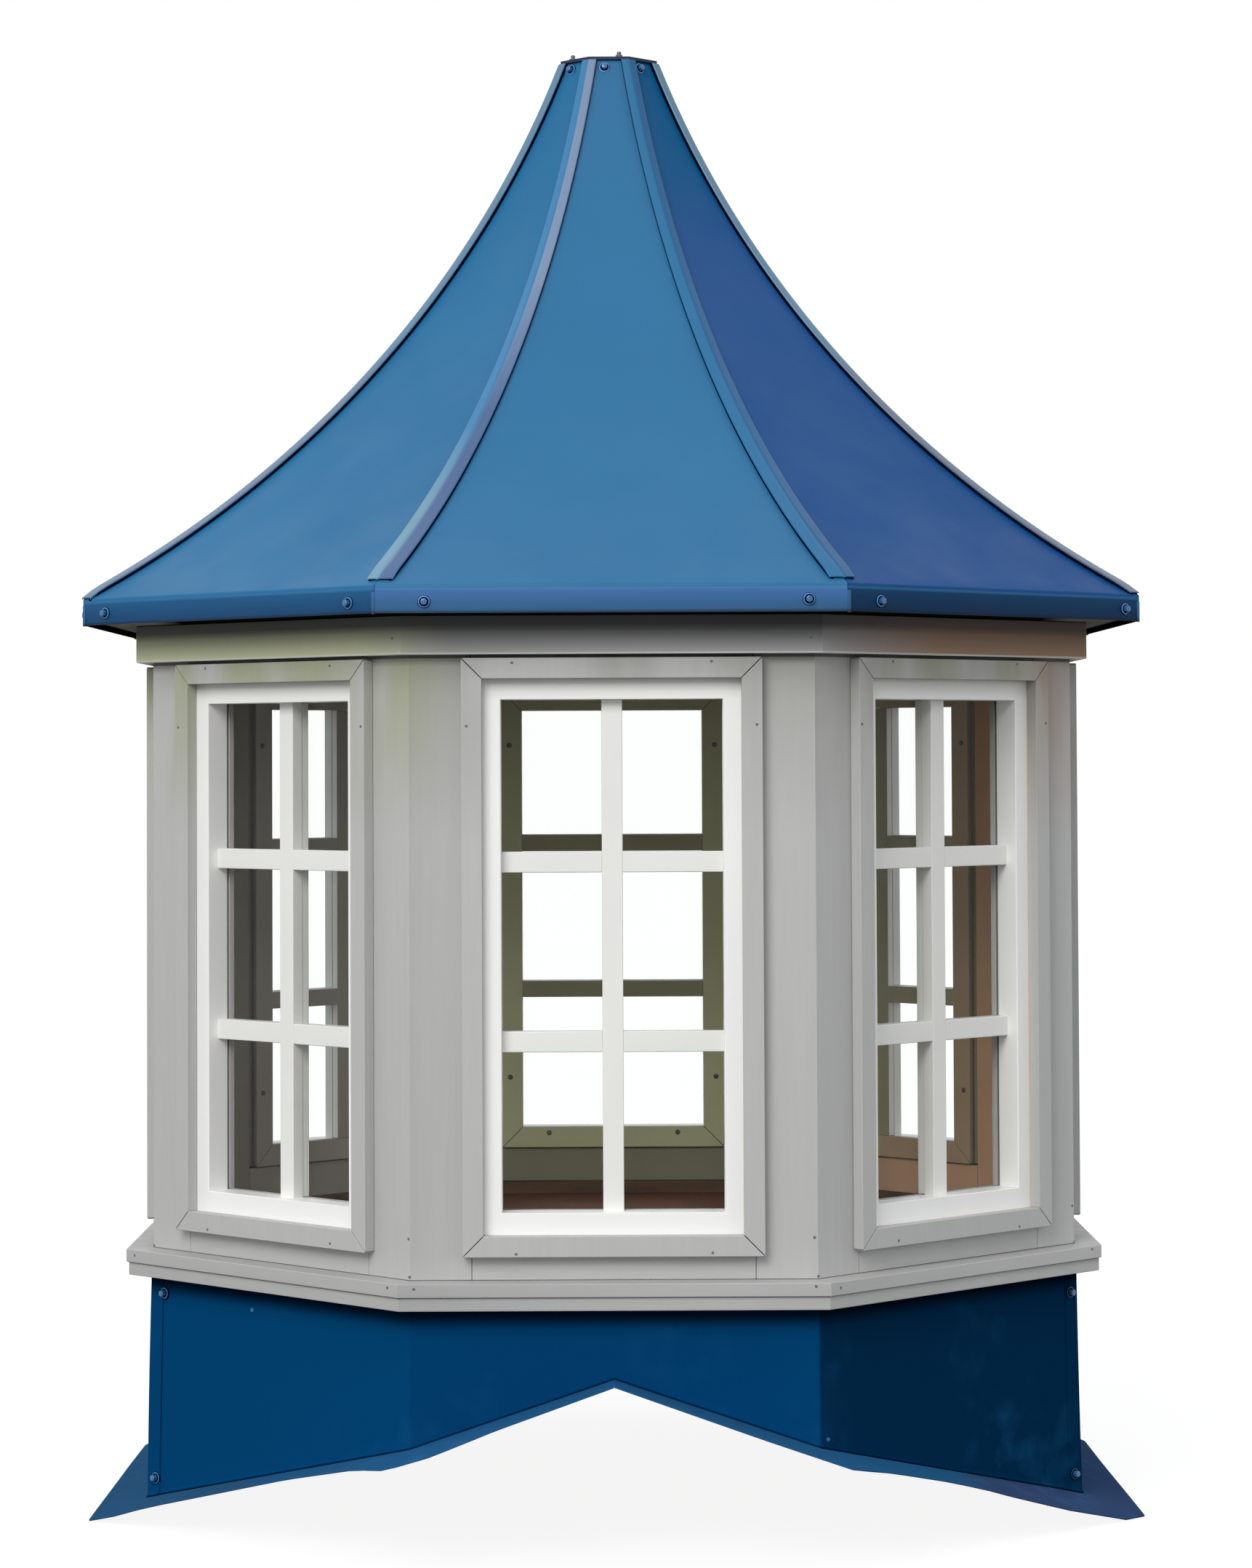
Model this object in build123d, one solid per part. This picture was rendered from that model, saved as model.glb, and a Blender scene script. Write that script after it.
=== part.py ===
"""Octagonal roof cupola with eight glazed faces and a concave sheet-metal roof.

The cupola stands astride a gable ridge that runs along Y. From the bottom up it is
two plates of roof flashing, a sheet-metal skirt over a wooden base frame, a ledge of
two boards, eight window bays between corner boards, a frieze, a ceiling deck, and
eight concave roof panels with a folded eave, hip caps and a flat plate on top.

Millimetres, +Z up. The origin is under the middle of the cupola, at the height of the
lowest edge of the flashing. Face 0 looks along -Y and the faces count anticlockwise.
"""
from build123d import *
import math
import os

# The octagon
SIDES = 8
WALL_FLATS = 1219.2             # across the wall faces, 48 inches
JOINT = 0.4                     # hairline between boards that meet
SEAT = 0.3                      # play between pieces that lie on each other

# Levels of the main structure
LEDGE_FOOT = 319.5              # underside of the ledge, over the lowest edge
WALL_HEIGHT = 823.0             # from the top of the ledge to the ceiling deck

# Gable roof under the cupola
ROOF_PITCH = 1 / 3              # four in twelve, fall over run
FLANGE_WIDTH = 70.0             # what the flashing shows outside the skirt
FLASHING_SHEET = 1.6

# Base
SKIRT_SHEET = 1.2
SKIRT_FLARE = 1.05              # degrees that the skirt leans out towards its foot
SKIRT_LAP = 24.0                # return of a side sheet round the corner
BASE_BOARD = 38.0

# Ledge and floor
LEDGE_BOARD = 17.0
LEDGE_UPPER_REACH = 34.5        # how far the upper board stands out from the wall
LEDGE_LOWER_REACH = 31.2
LEDGE_BEARING = 12.0            # how far a ledge board reaches in under the wall
SOLE_PLATE_WIDTH = 38.0

# Walls
WALL_BOARD = 36.5
SILL_HEIGHT = 50.0              # board under a window
HEADER_HEIGHT = 69.0            # board over a window

# Windows
SASH_PLAY = 2.0
SASH_DEPTH = 33.0
PANES_WIDTH = 276.0             # of the whole opening in a sash
STILE = 36.0                    # width of a sash's upright edge
PANES_FOOT = 33.0               # top of the bottom rail over the sill board
PANES_HEAD = 36.0               # underside of the top rail under the header board
BAR = 26.0                      # width of a glazing bar
BAR_SETBACK = 5.0               # bars behind the face of the sash
LOWER_BAR = 210.0               # middle of a level bar over the foot of the panes
UPPER_BAR = 433.0
GLASS = 3.0
GLASS_COVER = 10.0              # glass behind the frame on each edge
STOP_WIDTH = 31.0
STOP_THICKNESS = 8.0
CASING_WIDTH = 26.0
CASING_THICKNESS = 16.0
CASING_SIDE_COVER = 13.0        # casing over the edge of the sash
CASING_FOOT_COVER = 4.0
CASING_HEAD_COVER = 8.0

# Eave and roof
FRIEZE_THICKNESS = 21.4
FRIEZE_HEIGHT = 49.0
CEILING_DECK = 18.0
EAVE_REACH = 88.2               # face of the folded eave outside the wall
EAVE_CORNER = 34.6              # eave corner, before its bend, over the deck's underside
ROOF_RISE = 752.2               # from the eave corner to the top of the panels
ROOF_SAG = 83.8                 # hollow of the roof line below its chord
ROOF_TOP = 63.0                 # apothem of the panels at the top
ROOF_SHEET = 2.0
EAVE_BEND = 12.0
APEX_BLOCK = 60.0
TOP_PLATE = 4.0
TOP_PLATE_REACH = 4.0           # outside the panels

# Ribs under the hips
RIB_THICKNESS = 18.0
RIB_DEPTH = 70.0

# Hip caps
CAP_RISE = 7.0
CAP_SHEET = 1.6
CAP_HALF_WIDTH_FOOT = 16.5
CAP_HALF_WIDTH_TOP = 10.5
CAP_FOOT_GAP = 12.0             # cap's foot back from the eave corner
CAP_HEAD_GAP = 2.0

# Worked out from the sizes above
HALF_ANGLE = 180 / SIDES
TAN = math.tan(math.radians(HALF_ANGLE))
COS = math.cos(math.radians(HALF_ANGLE))
WALL = WALL_FLATS / 2
FAR = 2 * (WALL_FLATS + LEDGE_FOOT + WALL_HEIGHT + ROOF_RISE)     # beyond every piece
LEDGE_JOINT = LEDGE_FOOT + LEDGE_BOARD
WALL_FOOT = LEDGE_JOINT + LEDGE_BOARD
WALL_HEAD = WALL_FOOT + WALL_HEIGHT
SKIRT_OUT = WALL + 2 * SKIRT_SHEET + 2 * SEAT
FLANGE_EDGE = SKIRT_OUT + LEDGE_FOOT * math.tan(math.radians(SKIRT_FLARE)) + FLANGE_WIDTH
RIDGE = FLANGE_EDGE * ROOF_PITCH
FLASHING_RISE = FLASHING_SHEET * math.hypot(1, ROOF_PITCH)
WALL_INNER = WALL - WALL_BOARD
BASE_INNER = WALL - BASE_BOARD
BAY_HALF = PANES_WIDTH / 2 + STILE + SASH_PLAY
BAY_FOOT = WALL_FOOT + SILL_HEIGHT
BAY_HEAD = WALL_HEAD - HEADER_HEIGHT
PANES_BOTTOM = BAY_FOOT + PANES_FOOT
PANES_TOP = BAY_HEAD - PANES_HEAD
EAVE = WALL + EAVE_REACH
EAVE_Z = WALL_HEAD + EAVE_CORNER
ROOF_HEAD = EAVE_Z + ROOF_RISE
FACE_NAMES = [
    "front", "front_right", "right", "back_right",
    "back", "back_left", "left", "front_left",
]


def octagon(apothem):
    """Regular octagon in plan, with a flat towards each of the four main directions."""
    return RegularPolygon(radius=apothem, side_count=SIDES, major_radius=False, rotation=HALF_ANGLE)


def prism(apothem, low, high):
    """Octagonal prism between two heights."""
    return extrude(Pos(0, 0, low) * octagon(apothem), amount=high - low)


def ring(inner, outer, low, high):
    """Octagonal tube between two heights."""
    return prism(outer, low, high) - prism(inner, low - 1, high + 1)


def flared(offset, low, high):
    """Octagonal block under the ledge whose sides lean out towards the foot."""
    top = octagon(WALL + offset)
    return extrude(Pos(0, 0, high) * top, amount=high - low, dir=(0, 0, -1), taper=-SKIRT_FLARE)


def turned(shape, face):
    """A shape made for face 0, turned to another face."""
    return Rot(0, 0, face * 360 / SIDES) * shape


def sector(face, low, high, joint=JOINT):
    """Wedge between the two corners of a face, drawn in by half a joint at each mitre."""
    back = joint / 2 / math.sin(math.radians(HALF_ANGLE))
    half = (FAR - back) * TAN
    plan = make_face(Polyline((0, -back), (-half, -FAR), (half, -FAR), (0, -back), close=False))
    return turned(extrude(Pos(0, 0, low) * plan, amount=high - low), face)


def box(x0, x1, y0, y1, z0, z1):
    """Box between two corners."""
    return Pos((x0 + x1) / 2, (y0 + y1) / 2, (z0 + z1) / 2) * Box(x1 - x0, y1 - y0, z1 - z0)


def solids_of(shape):
    """The solids in a shape or in a list of shapes."""
    if isinstance(shape, (list, tuple)):
        return [solid for one in shape for solid in solids_of(one)]
    return list(shape.solids())


def mitred(shape, low, high):
    """An octagonal ring cut into eight boards that meet at the corners."""
    return [shape & sector(face, low, high) for face in range(SIDES)]


def save(name, shape):
    """Write one named piece, of one solid or of several that don't touch."""
    solids = solids_of(shape)
    whole = solids[0] if len(solids) == 1 else Compound(children=solids)
    whole.label = name
    export_step(whole, f"parts/{name}.step")


def over_roof(lift):
    """Everything above the gable roof's two planes, raised by a height."""
    top = RIDGE + lift
    foot = top - FAR * ROOF_PITCH
    corners = [(-FAR, foot), (0, top), (FAR, foot), (FAR, 2 * FAR), (-FAR, 2 * FAR)]
    outline = make_face(Polyline(*corners, close=True))
    return extrude(Plane.XZ * outline, amount=FAR, both=True)


def flashing(side):
    """Five plates on one plane of the roof, from under the base frame to the outer edge."""
    plates = []
    plane = over_roof(0) - over_roof(FLASHING_RISE)
    near, far = sorted((side * JOINT / 2, side * FAR))
    half = box(near, far, -FAR, FAR, -FAR, FAR)
    band = ring(BASE_INNER, FLANGE_EDGE, -FAR, FAR) & plane & half
    for face in range(SIDES):
        plate = band & sector(face, -FAR, FAR)
        plates += solids_of(plate)
    return [plate for plate in plates if plate.volume > 1]


def base_frame():
    """Ten boards inside the skirt: one a face, and two where the ridge passes."""
    lift = FLASHING_RISE + SEAT
    top = LEDGE_FOOT - SEAT
    frame = (flared(0, -RIDGE, top) - prism(BASE_INNER, -FAR, FAR)) & over_roof(lift)
    boards = []
    for face in range(SIDES):
        board = frame & sector(face, -FAR, FAR)
        if face in (0, SIDES // 2):
            board = board - box(-JOINT / 2, JOINT / 2, -FAR, FAR, -FAR, FAR)
        boards += solids_of(board)
    return boards


def skirt(layer):
    """Flared tube of sheet metal round the base frame, in the inner or the outer layer."""
    start = SEAT + layer * (SKIRT_SHEET + SEAT)
    top = LEDGE_FOOT - SEAT
    sheet = flared(start + SKIRT_SHEET, -RIDGE, top) - flared(start, -RIDGE, top)
    return sheet & over_roof(FLASHING_RISE + SEAT)


def skirt_end(face):
    """The sheet that closes the front or the back and both slanting faces beside it."""
    corners = [(0, 0), (-FAR, -FAR * TAN), (-FAR, -FAR), (FAR, -FAR), (FAR, -FAR * TAN)]
    plan = make_face(Polyline(*corners, close=True))
    return skirt(0) & turned(extrude(Pos(0, 0, -FAR) * plan, amount=2 * FAR), face)


def skirt_side(face):
    """The sheet of one side, with a short return lapped round each corner."""
    reach = WALL - SKIRT_LAP * math.sin(math.radians(2 * HALF_ANGLE))
    return skirt(1) & turned(box(-FAR, FAR, -FAR, -reach, -FAR, FAR), face)


def in_bay(x, low, high, inner, outer):
    """Flat board in a window bay of face 0, centred on the bay."""
    return box(-x, x, -outer, -inner, low, high)


def corner_boards():
    """Two mitred boards at each corner of the walls."""
    boards = []
    wall = ring(WALL_INNER, WALL, WALL_FOOT + SEAT, WALL_HEAD - SEAT)
    for face in range(SIDES):
        run = wall & sector(face, 0, WALL_HEAD)
        run -= turned(in_bay(BAY_HALF, 0, FAR, 0, FAR), face)
        boards += solids_of(run)
    return boards


def bay_boards(low, high):
    """One board in each bay, between the corner boards."""
    board = in_bay(BAY_HALF - JOINT, low, high, WALL_INNER, WALL)
    return [turned(board, face) for face in range(SIDES)]


def framed(x, low, high, width, inner, outer):
    """Four boards mitred at 45 degrees round an opening of half-width x in face 0."""
    wide, foot, head = x + width, low - width, high + width
    trim = JOINT / 2 * math.sqrt(2)
    outlines = [
        [(-wide + trim, foot), (wide - trim, foot), (x - trim, low), (-x + trim, low)],
        [(-wide + trim, head), (wide - trim, head), (x - trim, high), (-x + trim, high)],
        [(-wide, foot + trim), (-x, low + trim), (-x, high - trim), (-wide, head - trim)],
        [(wide, foot + trim), (x, low + trim), (x, high - trim), (wide, head - trim)],
    ]
    boards = []
    for outline in outlines:
        face = make_face(Polyline(*outline, close=True))
        board = extrude(Plane.XZ * face, amount=outer - inner)
        boards.append(Pos(0, -inner, 0) * board)
    return boards


def sash():
    """Sash with one upright and two level bars, in one piece, without its glass."""
    outer = WALL
    inner = WALL - SASH_DEPTH
    body = in_bay(BAY_HALF - SASH_PLAY, BAY_FOOT + SASH_PLAY, BAY_HEAD - SASH_PLAY, inner, outer)
    body -= in_bay(PANES_WIDTH / 2, PANES_BOTTOM, PANES_TOP, 0, FAR)
    bar_face = outer - BAR_SETBACK
    body += in_bay(BAR / 2, PANES_BOTTOM, PANES_TOP, inner, bar_face)
    for middle in (LOWER_BAR, UPPER_BAR):
        level = PANES_BOTTOM + middle
        body += in_bay(PANES_WIDTH / 2, level - BAR / 2, level + BAR / 2, inner, bar_face)
    return body


def glass():
    """The sheet behind the bars of one sash."""
    outer = WALL - SASH_DEPTH - SEAT
    cover = GLASS_COVER
    return in_bay(PANES_WIDTH / 2 + cover, PANES_BOTTOM - cover, PANES_TOP + cover, outer - GLASS, outer)


def stops():
    """Frame of four flat boards screwed on inside, over the edge of the glass."""
    outer = WALL - SASH_DEPTH - GLASS - 2 * SEAT
    return framed(PANES_WIDTH / 2, PANES_BOTTOM, PANES_TOP, STOP_WIDTH, outer - STOP_THICKNESS, outer)


def casing():
    """Four mitred boards on the wall face, over the joint between sash and corner boards."""
    x = BAY_HALF - SASH_PLAY - CASING_SIDE_COVER
    low = BAY_FOOT + SASH_PLAY + CASING_FOOT_COVER
    high = BAY_HEAD - SASH_PLAY - CASING_HEAD_COVER
    return framed(x, low, high, CASING_WIDTH, WALL + SEAT, WALL + SEAT + CASING_THICKNESS)


def roof_circle():
    """Centre and radius of the arc through a panel's top, its hollow and its eave corner."""
    run = EAVE - ROOF_TOP
    chord = math.hypot(run, ROOF_RISE)
    radius = chord ** 2 / (8 * ROOF_SAG) + ROOF_SAG / 2
    reach = (radius - ROOF_SAG) / chord
    return (EAVE + ROOF_TOP) / 2 + ROOF_RISE * reach, EAVE_Z + ROOF_RISE / 2 + run * reach, radius


def roof_z(x, lift):
    """Height of the roof line at a distance from the axis, with the line moved out by lift."""
    centre_x, centre_z, radius = roof_circle()
    return centre_z - math.sqrt((radius - lift) ** 2 - (centre_x - x) ** 2)


def roof_x(z, lift):
    """Distance of the roof line from the axis at a height."""
    centre_x, centre_z, radius = roof_circle()
    return centre_x - math.sqrt((radius - lift) ** 2 - (centre_z - z) ** 2)


def roof_section(lift):
    """Upright half section under the roof line, with the bend and the edge of the eave."""
    head, edge = roof_x(ROOF_HEAD, lift), EAVE + lift
    flat_top = [(0, ROOF_HEAD)] if head > 0 else []
    start = (head, ROOF_HEAD) if head > 0 else (0, roof_z(0, lift))
    corner = (edge, roof_z(edge, lift))
    halfway = (start[0] + edge) / 2
    arc = ThreePointArc(start, (halfway, roof_z(halfway, lift)), corner)
    rest = Polyline(corner, (edge, WALL_HEAD), (0, WALL_HEAD), *flat_top, start)
    face = make_face([arc, rest])
    bend = face.vertices().sort_by_distance((*corner, 0))[0]
    return Sketch() + (fillet(bend, EAVE_BEND + lift) if EAVE_BEND + lift > 0 else face)


def roof_shell(outer, inner):
    """Bent sheet of face 0 between two lifts of the roof line, wider than its face."""
    section = roof_section(outer) - roof_section(inner)
    upright = Plane(origin=(0, 0, 0), x_dir=(0, -1, 0), z_dir=(-1, 0, 0))
    return extrude(upright * section, amount=EAVE, both=True)


def roof_panel():
    """Concave panel of face 0 with its folded eave."""
    return roof_shell(0, -ROOF_SHEET) & sector(0, WALL_HEAD - 1, ROOF_HEAD + 1)


def hip_strip(head, foot, slim, wide):
    """Plan strip beside the left hip of face 0, between two distances from the axis."""
    slant = math.radians(HALF_ANGLE)
    along = Vector(-math.sin(slant), -math.cos(slant))
    aside = Vector(math.cos(slant), -math.sin(slant))
    near, far = along * head, along * foot
    plan = make_face(Polyline(near, far, far + aside * wide, near + aside * slim, close=True))
    return extrude(Pos(0, 0, WALL_HEAD) * plan, amount=2 * ROOF_RISE)


def both_sides(half):
    """A piece beside the left hip of face 0 joined to its mirror image across the hip."""
    slant = math.radians(HALF_ANGLE)
    across = (math.cos(slant), -math.sin(slant), 0)
    return half + mirror(half, about=Plane(origin=(0, 0, 0), z_dir=across))


def hip_rib():
    """Curved plywood rib under one hip, bevelled to both panels, from the deck to the block."""
    under = -ROOF_SHEET - SEAT
    half = RIB_THICKNESS / 2
    strip = hip_strip(RIB_HEAD / COS, FAR, half, half) - prism(FAR, 0, WALL_HEAD + CEILING_DECK)
    return both_sides(roof_shell(under, under - RIB_DEPTH) & strip)


def cap_band(narrower):
    """Plan strip of a hip cap, tapering towards the top, or a narrower one inside it."""
    head = roof_x(ROOF_HEAD, 0) / COS + CAP_HEAD_GAP + narrower
    foot = EAVE / COS - CAP_FOOT_GAP - narrower
    return hip_strip(head, foot, CAP_HALF_WIDTH_TOP - narrower, CAP_HALF_WIDTH_FOOT - narrower)


def hip_cap():
    """Hollow folded cap over one hip."""
    cover = roof_shell(CAP_RISE, SEAT) & cap_band(0)
    hollow = roof_shell(CAP_RISE - CAP_SHEET, 0) & cap_band(CAP_SHEET)
    return both_sides(cover - hollow)


def around(shape):
    """The eight copies of a shape of face 0."""
    return [turned(shape, face) for face in range(SIDES)]


RIB_HEAD = roof_x(ROOF_HEAD, -ROOF_SHEET)
os.makedirs("parts", exist_ok=True)

save("flashing_left", flashing(-1))
save("flashing_right", flashing(1))
save("base_frame", base_frame())
save("skirt_front", skirt_end(0))
save("skirt_back", skirt_end(4))
save("skirt_right", skirt_side(2))
save("skirt_left", skirt_side(6))

floor_edge = WALL - LEDGE_BEARING
lower = ring(floor_edge, WALL + LEDGE_LOWER_REACH, LEDGE_FOOT, LEDGE_JOINT - SEAT)
upper = ring(floor_edge, WALL + LEDGE_UPPER_REACH, LEDGE_JOINT, WALL_FOOT)
sole = ring(floor_edge - SEAT - SOLE_PLATE_WIDTH, floor_edge - SEAT, LEDGE_JOINT, WALL_FOOT)
save("floor_deck", prism(floor_edge - SEAT, LEDGE_FOOT, LEDGE_JOINT - SEAT))
save("ledge_lower", mitred(lower, 0, WALL_HEAD))
save("ledge_upper", mitred(upper, 0, WALL_HEAD))
save("sole_plate", mitred(sole, 0, WALL_HEAD))

save("corner_boards", corner_boards())
save("sill_boards", bay_boards(WALL_FOOT + SEAT, BAY_FOOT))
save("header_boards", bay_boards(BAY_HEAD, WALL_HEAD - SEAT))
save("glass_panes", around(glass()))
save("glazing_stops", [turned(board, face) for face in range(SIDES) for board in stops()])
window, surround = sash(), casing()
for face, name in enumerate(FACE_NAMES):
    save(f"window_{name}", turned(window, face))
    save(f"casing_{name}", [turned(board, face) for board in surround])

frieze = ring(WALL + SEAT, WALL + FRIEZE_THICKNESS, WALL_HEAD - FRIEZE_HEIGHT, WALL_HEAD - SEAT)
save("frieze", mitred(frieze, 0, 2 * WALL_HEAD))
save("ceiling_deck", prism(EAVE - ROOF_SHEET - SEAT, WALL_HEAD, WALL_HEAD + CEILING_DECK))

panel = roof_panel()
for face, name in enumerate(FACE_NAMES):
    save(f"roof_{name}", turned(panel, face))
save("hip_caps", around(hip_cap()))
save("roof_ribs", around(hip_rib()))
save("apex_block", prism(RIB_HEAD - SEAT, ROOF_HEAD - APEX_BLOCK, ROOF_HEAD))
plate_foot = ROOF_HEAD + SEAT
save("top_plate", prism(ROOF_TOP + TOP_PLATE_REACH, plate_foot, plate_foot + TOP_PLATE))
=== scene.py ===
# %% [markdown]
# An octagonal roof cupola: a lantern of eight windows under a hollow-curved metal roof.
# The construction comes in as a fixed frame, with every piece at its real size. This lesson
# gives each piece the surface that the real one has: rounded edges where a board has them,
# smooth bent sheet, screws, and finishes that change a little from place to place.

# %% Load the frame
import math

import bmesh
import bpy
import numpy as np
from mathutils import Matrix, Vector


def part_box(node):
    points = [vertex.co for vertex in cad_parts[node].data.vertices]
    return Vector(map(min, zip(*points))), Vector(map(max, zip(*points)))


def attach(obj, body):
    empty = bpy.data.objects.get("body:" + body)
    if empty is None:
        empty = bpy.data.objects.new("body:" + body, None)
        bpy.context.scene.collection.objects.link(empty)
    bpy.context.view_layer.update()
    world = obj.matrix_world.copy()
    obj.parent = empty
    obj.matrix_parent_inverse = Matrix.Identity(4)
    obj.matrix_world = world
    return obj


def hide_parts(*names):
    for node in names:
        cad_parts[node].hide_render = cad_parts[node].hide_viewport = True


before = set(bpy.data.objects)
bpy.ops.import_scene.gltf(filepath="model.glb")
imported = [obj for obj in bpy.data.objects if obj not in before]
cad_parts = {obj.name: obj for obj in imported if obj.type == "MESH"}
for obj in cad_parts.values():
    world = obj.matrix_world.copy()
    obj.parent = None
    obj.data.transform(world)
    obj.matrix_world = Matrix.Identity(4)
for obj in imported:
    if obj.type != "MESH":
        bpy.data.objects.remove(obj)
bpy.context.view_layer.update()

# %% [markdown]
# Everything is placed from the frame, so the first job is to read the sizes of its pieces.
# The cupola is an eight-sided figure with a flat towards each side of the room. Half the
# distance between two flats is called the apothem, and half the length of a side is the
# apothem times the tangent of an eighth of a half turn.

# %% Sizes of the construction
MM = 0.001
EAVE_FACE = 31 * MM
SIDES = 8
EIGHTH = 2 * math.pi / SIDES
HALF = EIGHTH / 2
TAN = math.tan(HALF)
FACE_NAMES = ["front", "front_right", "right", "back_right", "back", "back_left", "left", "front_left"]


def extent(node):
    """Lowest and highest corner of a construction piece, as arrays."""
    low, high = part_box(node)
    return np.array(low), np.array(high)


WALL_LOW, WALL_HIGH = extent("corner_boards")
WALL = WALL_HIGH[0]
WINDOW_LOW, WINDOW_HIGH = extent("window_front")
CASING_LOW, CASING_HIGH = extent("casing_front")
ROOF_LOW, ROOF_HIGH = extent("roof_front")
EAVE, EAVE_FOOT, ROOF_HEAD = -ROOF_LOW[1], ROOF_LOW[2], ROOF_HIGH[2]
EAVE_FOLD = EAVE_FOOT + EAVE_FACE
print("wall apothem", WALL, "eave apothem", EAVE)

# %% [markdown]
# A photograph is matched from the place where it was taken. The corners of the octagon at
# five levels fix that place, the direction and the lens. The picture was cropped afterwards,
# so its middle isn't where the lens points, and a small shift of the sensor stands for it.
# A camera looks down until it is turned up, by a right angle and the tilt, after its roll.

# %% Camera
FRAME_WIDTH, FRAME_HEIGHT = 1722, 2156
CAMERA_PLACE = Vector((0.0, -5.6441, 0.9981))
CAMERA_PITCH = math.radians(1.673)
CAMERA_ROLL = math.radians(-0.2495)
FOCAL_PIXELS = 5576.1
LENS_AXIS = (840.8, 880.0)
SENSOR = 36.0
camera_data = bpy.data.cameras.new("camera")
camera_data.sensor_width = SENSOR
camera_data.lens = FOCAL_PIXELS * SENSOR / FRAME_HEIGHT
camera_data.shift_x = (FRAME_WIDTH / 2 - LENS_AXIS[0]) / FRAME_HEIGHT
camera_data.shift_y = (LENS_AXIS[1] - FRAME_HEIGHT / 2) / FRAME_HEIGHT
camera = bpy.data.objects.new("camera", camera_data)
bpy.context.scene.collection.objects.link(camera)
turn = Matrix.Rotation(math.pi / 2 + CAMERA_PITCH, 4, "X") @ Matrix.Rotation(CAMERA_ROLL, 4, "Z")
camera.matrix_world = Matrix.Translation(CAMERA_PLACE) @ turn
bpy.context.scene.camera = camera
print("lens", round(camera_data.lens, 2), "mm")

# %% [markdown]
# A finish is a small graph of nodes. A paint pot stands for the graph that is being drawn:
# each of its steps adds a node and hands back the node's result. Colours are written as
# screen codes and turned into linear light.

# %% Paint pots
MIDDLE, WIDE = (0.35, 0.65), (0.3, 0.7)
PLAIN_SHINE = 0.5


def paint(code):
    """Linear colour of a screen code. Each channel c becomes ((c + 0.055) / 1.055) to the power 2.4."""
    channels = [int(code[place:place + 2], 16) / 255 for place in (1, 3, 5)]
    return (*(((c + 0.055) / 1.055) ** 2.4 for c in channels), 1.0)


class Pot:
    """The graph of a material or of the world."""

    def __init__(self, owner):
        owner.use_nodes = True
        self.owner, self.tree = owner, owner.node_tree

    def feed(self, made, inputs):
        """Give a node its inputs: a socket is linked, and any other value is set."""
        for key, value in inputs.items():
            if isinstance(value, bpy.types.NodeSocket):
                self.tree.links.new(value, made.inputs[key])
            else:
                made.inputs[key].default_value = value

    def add(self, kind, inputs=None, out=0, **settings):
        """Add a node of that kind, and hand back one of its results."""
        made = self.tree.nodes.new("ShaderNode" + kind)
        for key, value in settings.items():
            setattr(made, key, value)
        self.feed(made, inputs or {})
        return made.outputs[out]

    def math(self, operation, *values):
        """Result of a sum on one to three values."""
        return self.add("Math", dict(enumerate(values)), operation=operation)

    def along(self, axis):
        """Where a point is along X, Y or Z of the cupola, in metres."""
        return self.add("SeparateXYZ", {"Vector": self.add("TexCoord", out="Object")}, axis)

    def noise(self, scale, stretch=(1, 1, 1), detail=3.0, shift=0.0):
        """Soft noise from 0 to 1, with about so many features a metre, slowed along the axes by stretch."""
        place = self.add("TexCoord", out="Object")
        spread = self.add("Mapping", {"Vector": place, "Scale": stretch, "Location": (shift, shift, shift)})
        return self.add("TexNoise", {"Vector": spread, "Scale": scale, "Detail": detail})

    def span(self, value, low, high, to_low=0.0, to_high=1.0):
        """Stretch a value from low..high to to_low..to_high, and hold it there beyond."""
        limits = {"From Min": low, "From Max": high, "To Min": to_low, "To Max": to_high}
        return self.add("MapRange", {"Value": value, **limits})

    def mixed(self, factor, first, second):
        """A colour that goes from first to second as factor goes from 0 to 1."""
        first, second = (paint(colour) if isinstance(colour, str) else colour for colour in (first, second))
        return self.add("Mix", {0: factor, 6: first, 7: second}, 2, data_type="RGBA")

    def tinted(self, base, value, low, high, colour, most=1.0):
        """The base, and more and more of a colour as the value goes from low to high."""
        return self.mixed(self.span(value, low, high, 0.0, most), base, colour)

    def facing_out(self):
        """1 where a face looks away from the cupola's axis, and -1 where it looks inwards."""
        place, normal = (self.add("TexCoord", out=name) for name in ("Object", "Normal"))
        flat = self.add("VectorMath", {0: place, 1: (1, 1, 0)}, operation="MULTIPLY")
        away = self.add("VectorMath", {0: flat}, operation="NORMALIZE")
        return self.add("VectorMath", {0: normal, 1: away}, "Value", operation="DOT_PRODUCT")

    def painted_inner_light(self, base, middle, right):
        """Painted interior light and shade: the base, and what looks inwards grey to the left and with
        named tints elsewhere.
        """
        x = self.along("X")
        tint = self.tinted(middle, x, -0.3, -0.42, "#AEAEA4")
        tint = self.tinted(tint, x, 0.3, 0.42, right)
        return self.tinted(base, self.facing_out(), -0.3, -0.6, tint)

    def coat(self, colour, roughness, shine=PLAIN_SHINE, height=None, depth=0.0):
        """Feed the shader. A height pattern tilts the surface, as if it were so many metres deep."""
        inputs = {"Base Color": colour, "Roughness": roughness, "Specular IOR Level": shine}
        if height:
            inputs["Normal"] = self.add("Bump", {"Height": height, "Distance": depth, "Strength": 1.0})
        self.feed(self.tree.nodes["Principled BSDF"], inputs)
        return self.owner


def new_pot(name):
    """The pot of a fresh material."""
    return Pot(bpy.data.materials.new(name))


# %% [markdown]
# The roof, the hip caps, the skirt and the flashing are steel sheet with a baked blue coat.
# Such a coat is smooth but never quite even: the colour drifts over a hand's width, the
# gloss changes where hands and rain have been, and close up it has a very fine orange peel.
# One function makes them all, with the colour, the drift and the gloss as its choices. It
# paints light and shade into the colour as well: on the folded eave, by side and by height.

# %% Coated metal
# Painted highlight along the eave's fold, and painted shadow along its foot.
FOLD_PAINTED_HIGHLIGHT, FOOT_PAINTED_SHADOW = "#3A78AC", "#061C30"


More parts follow.
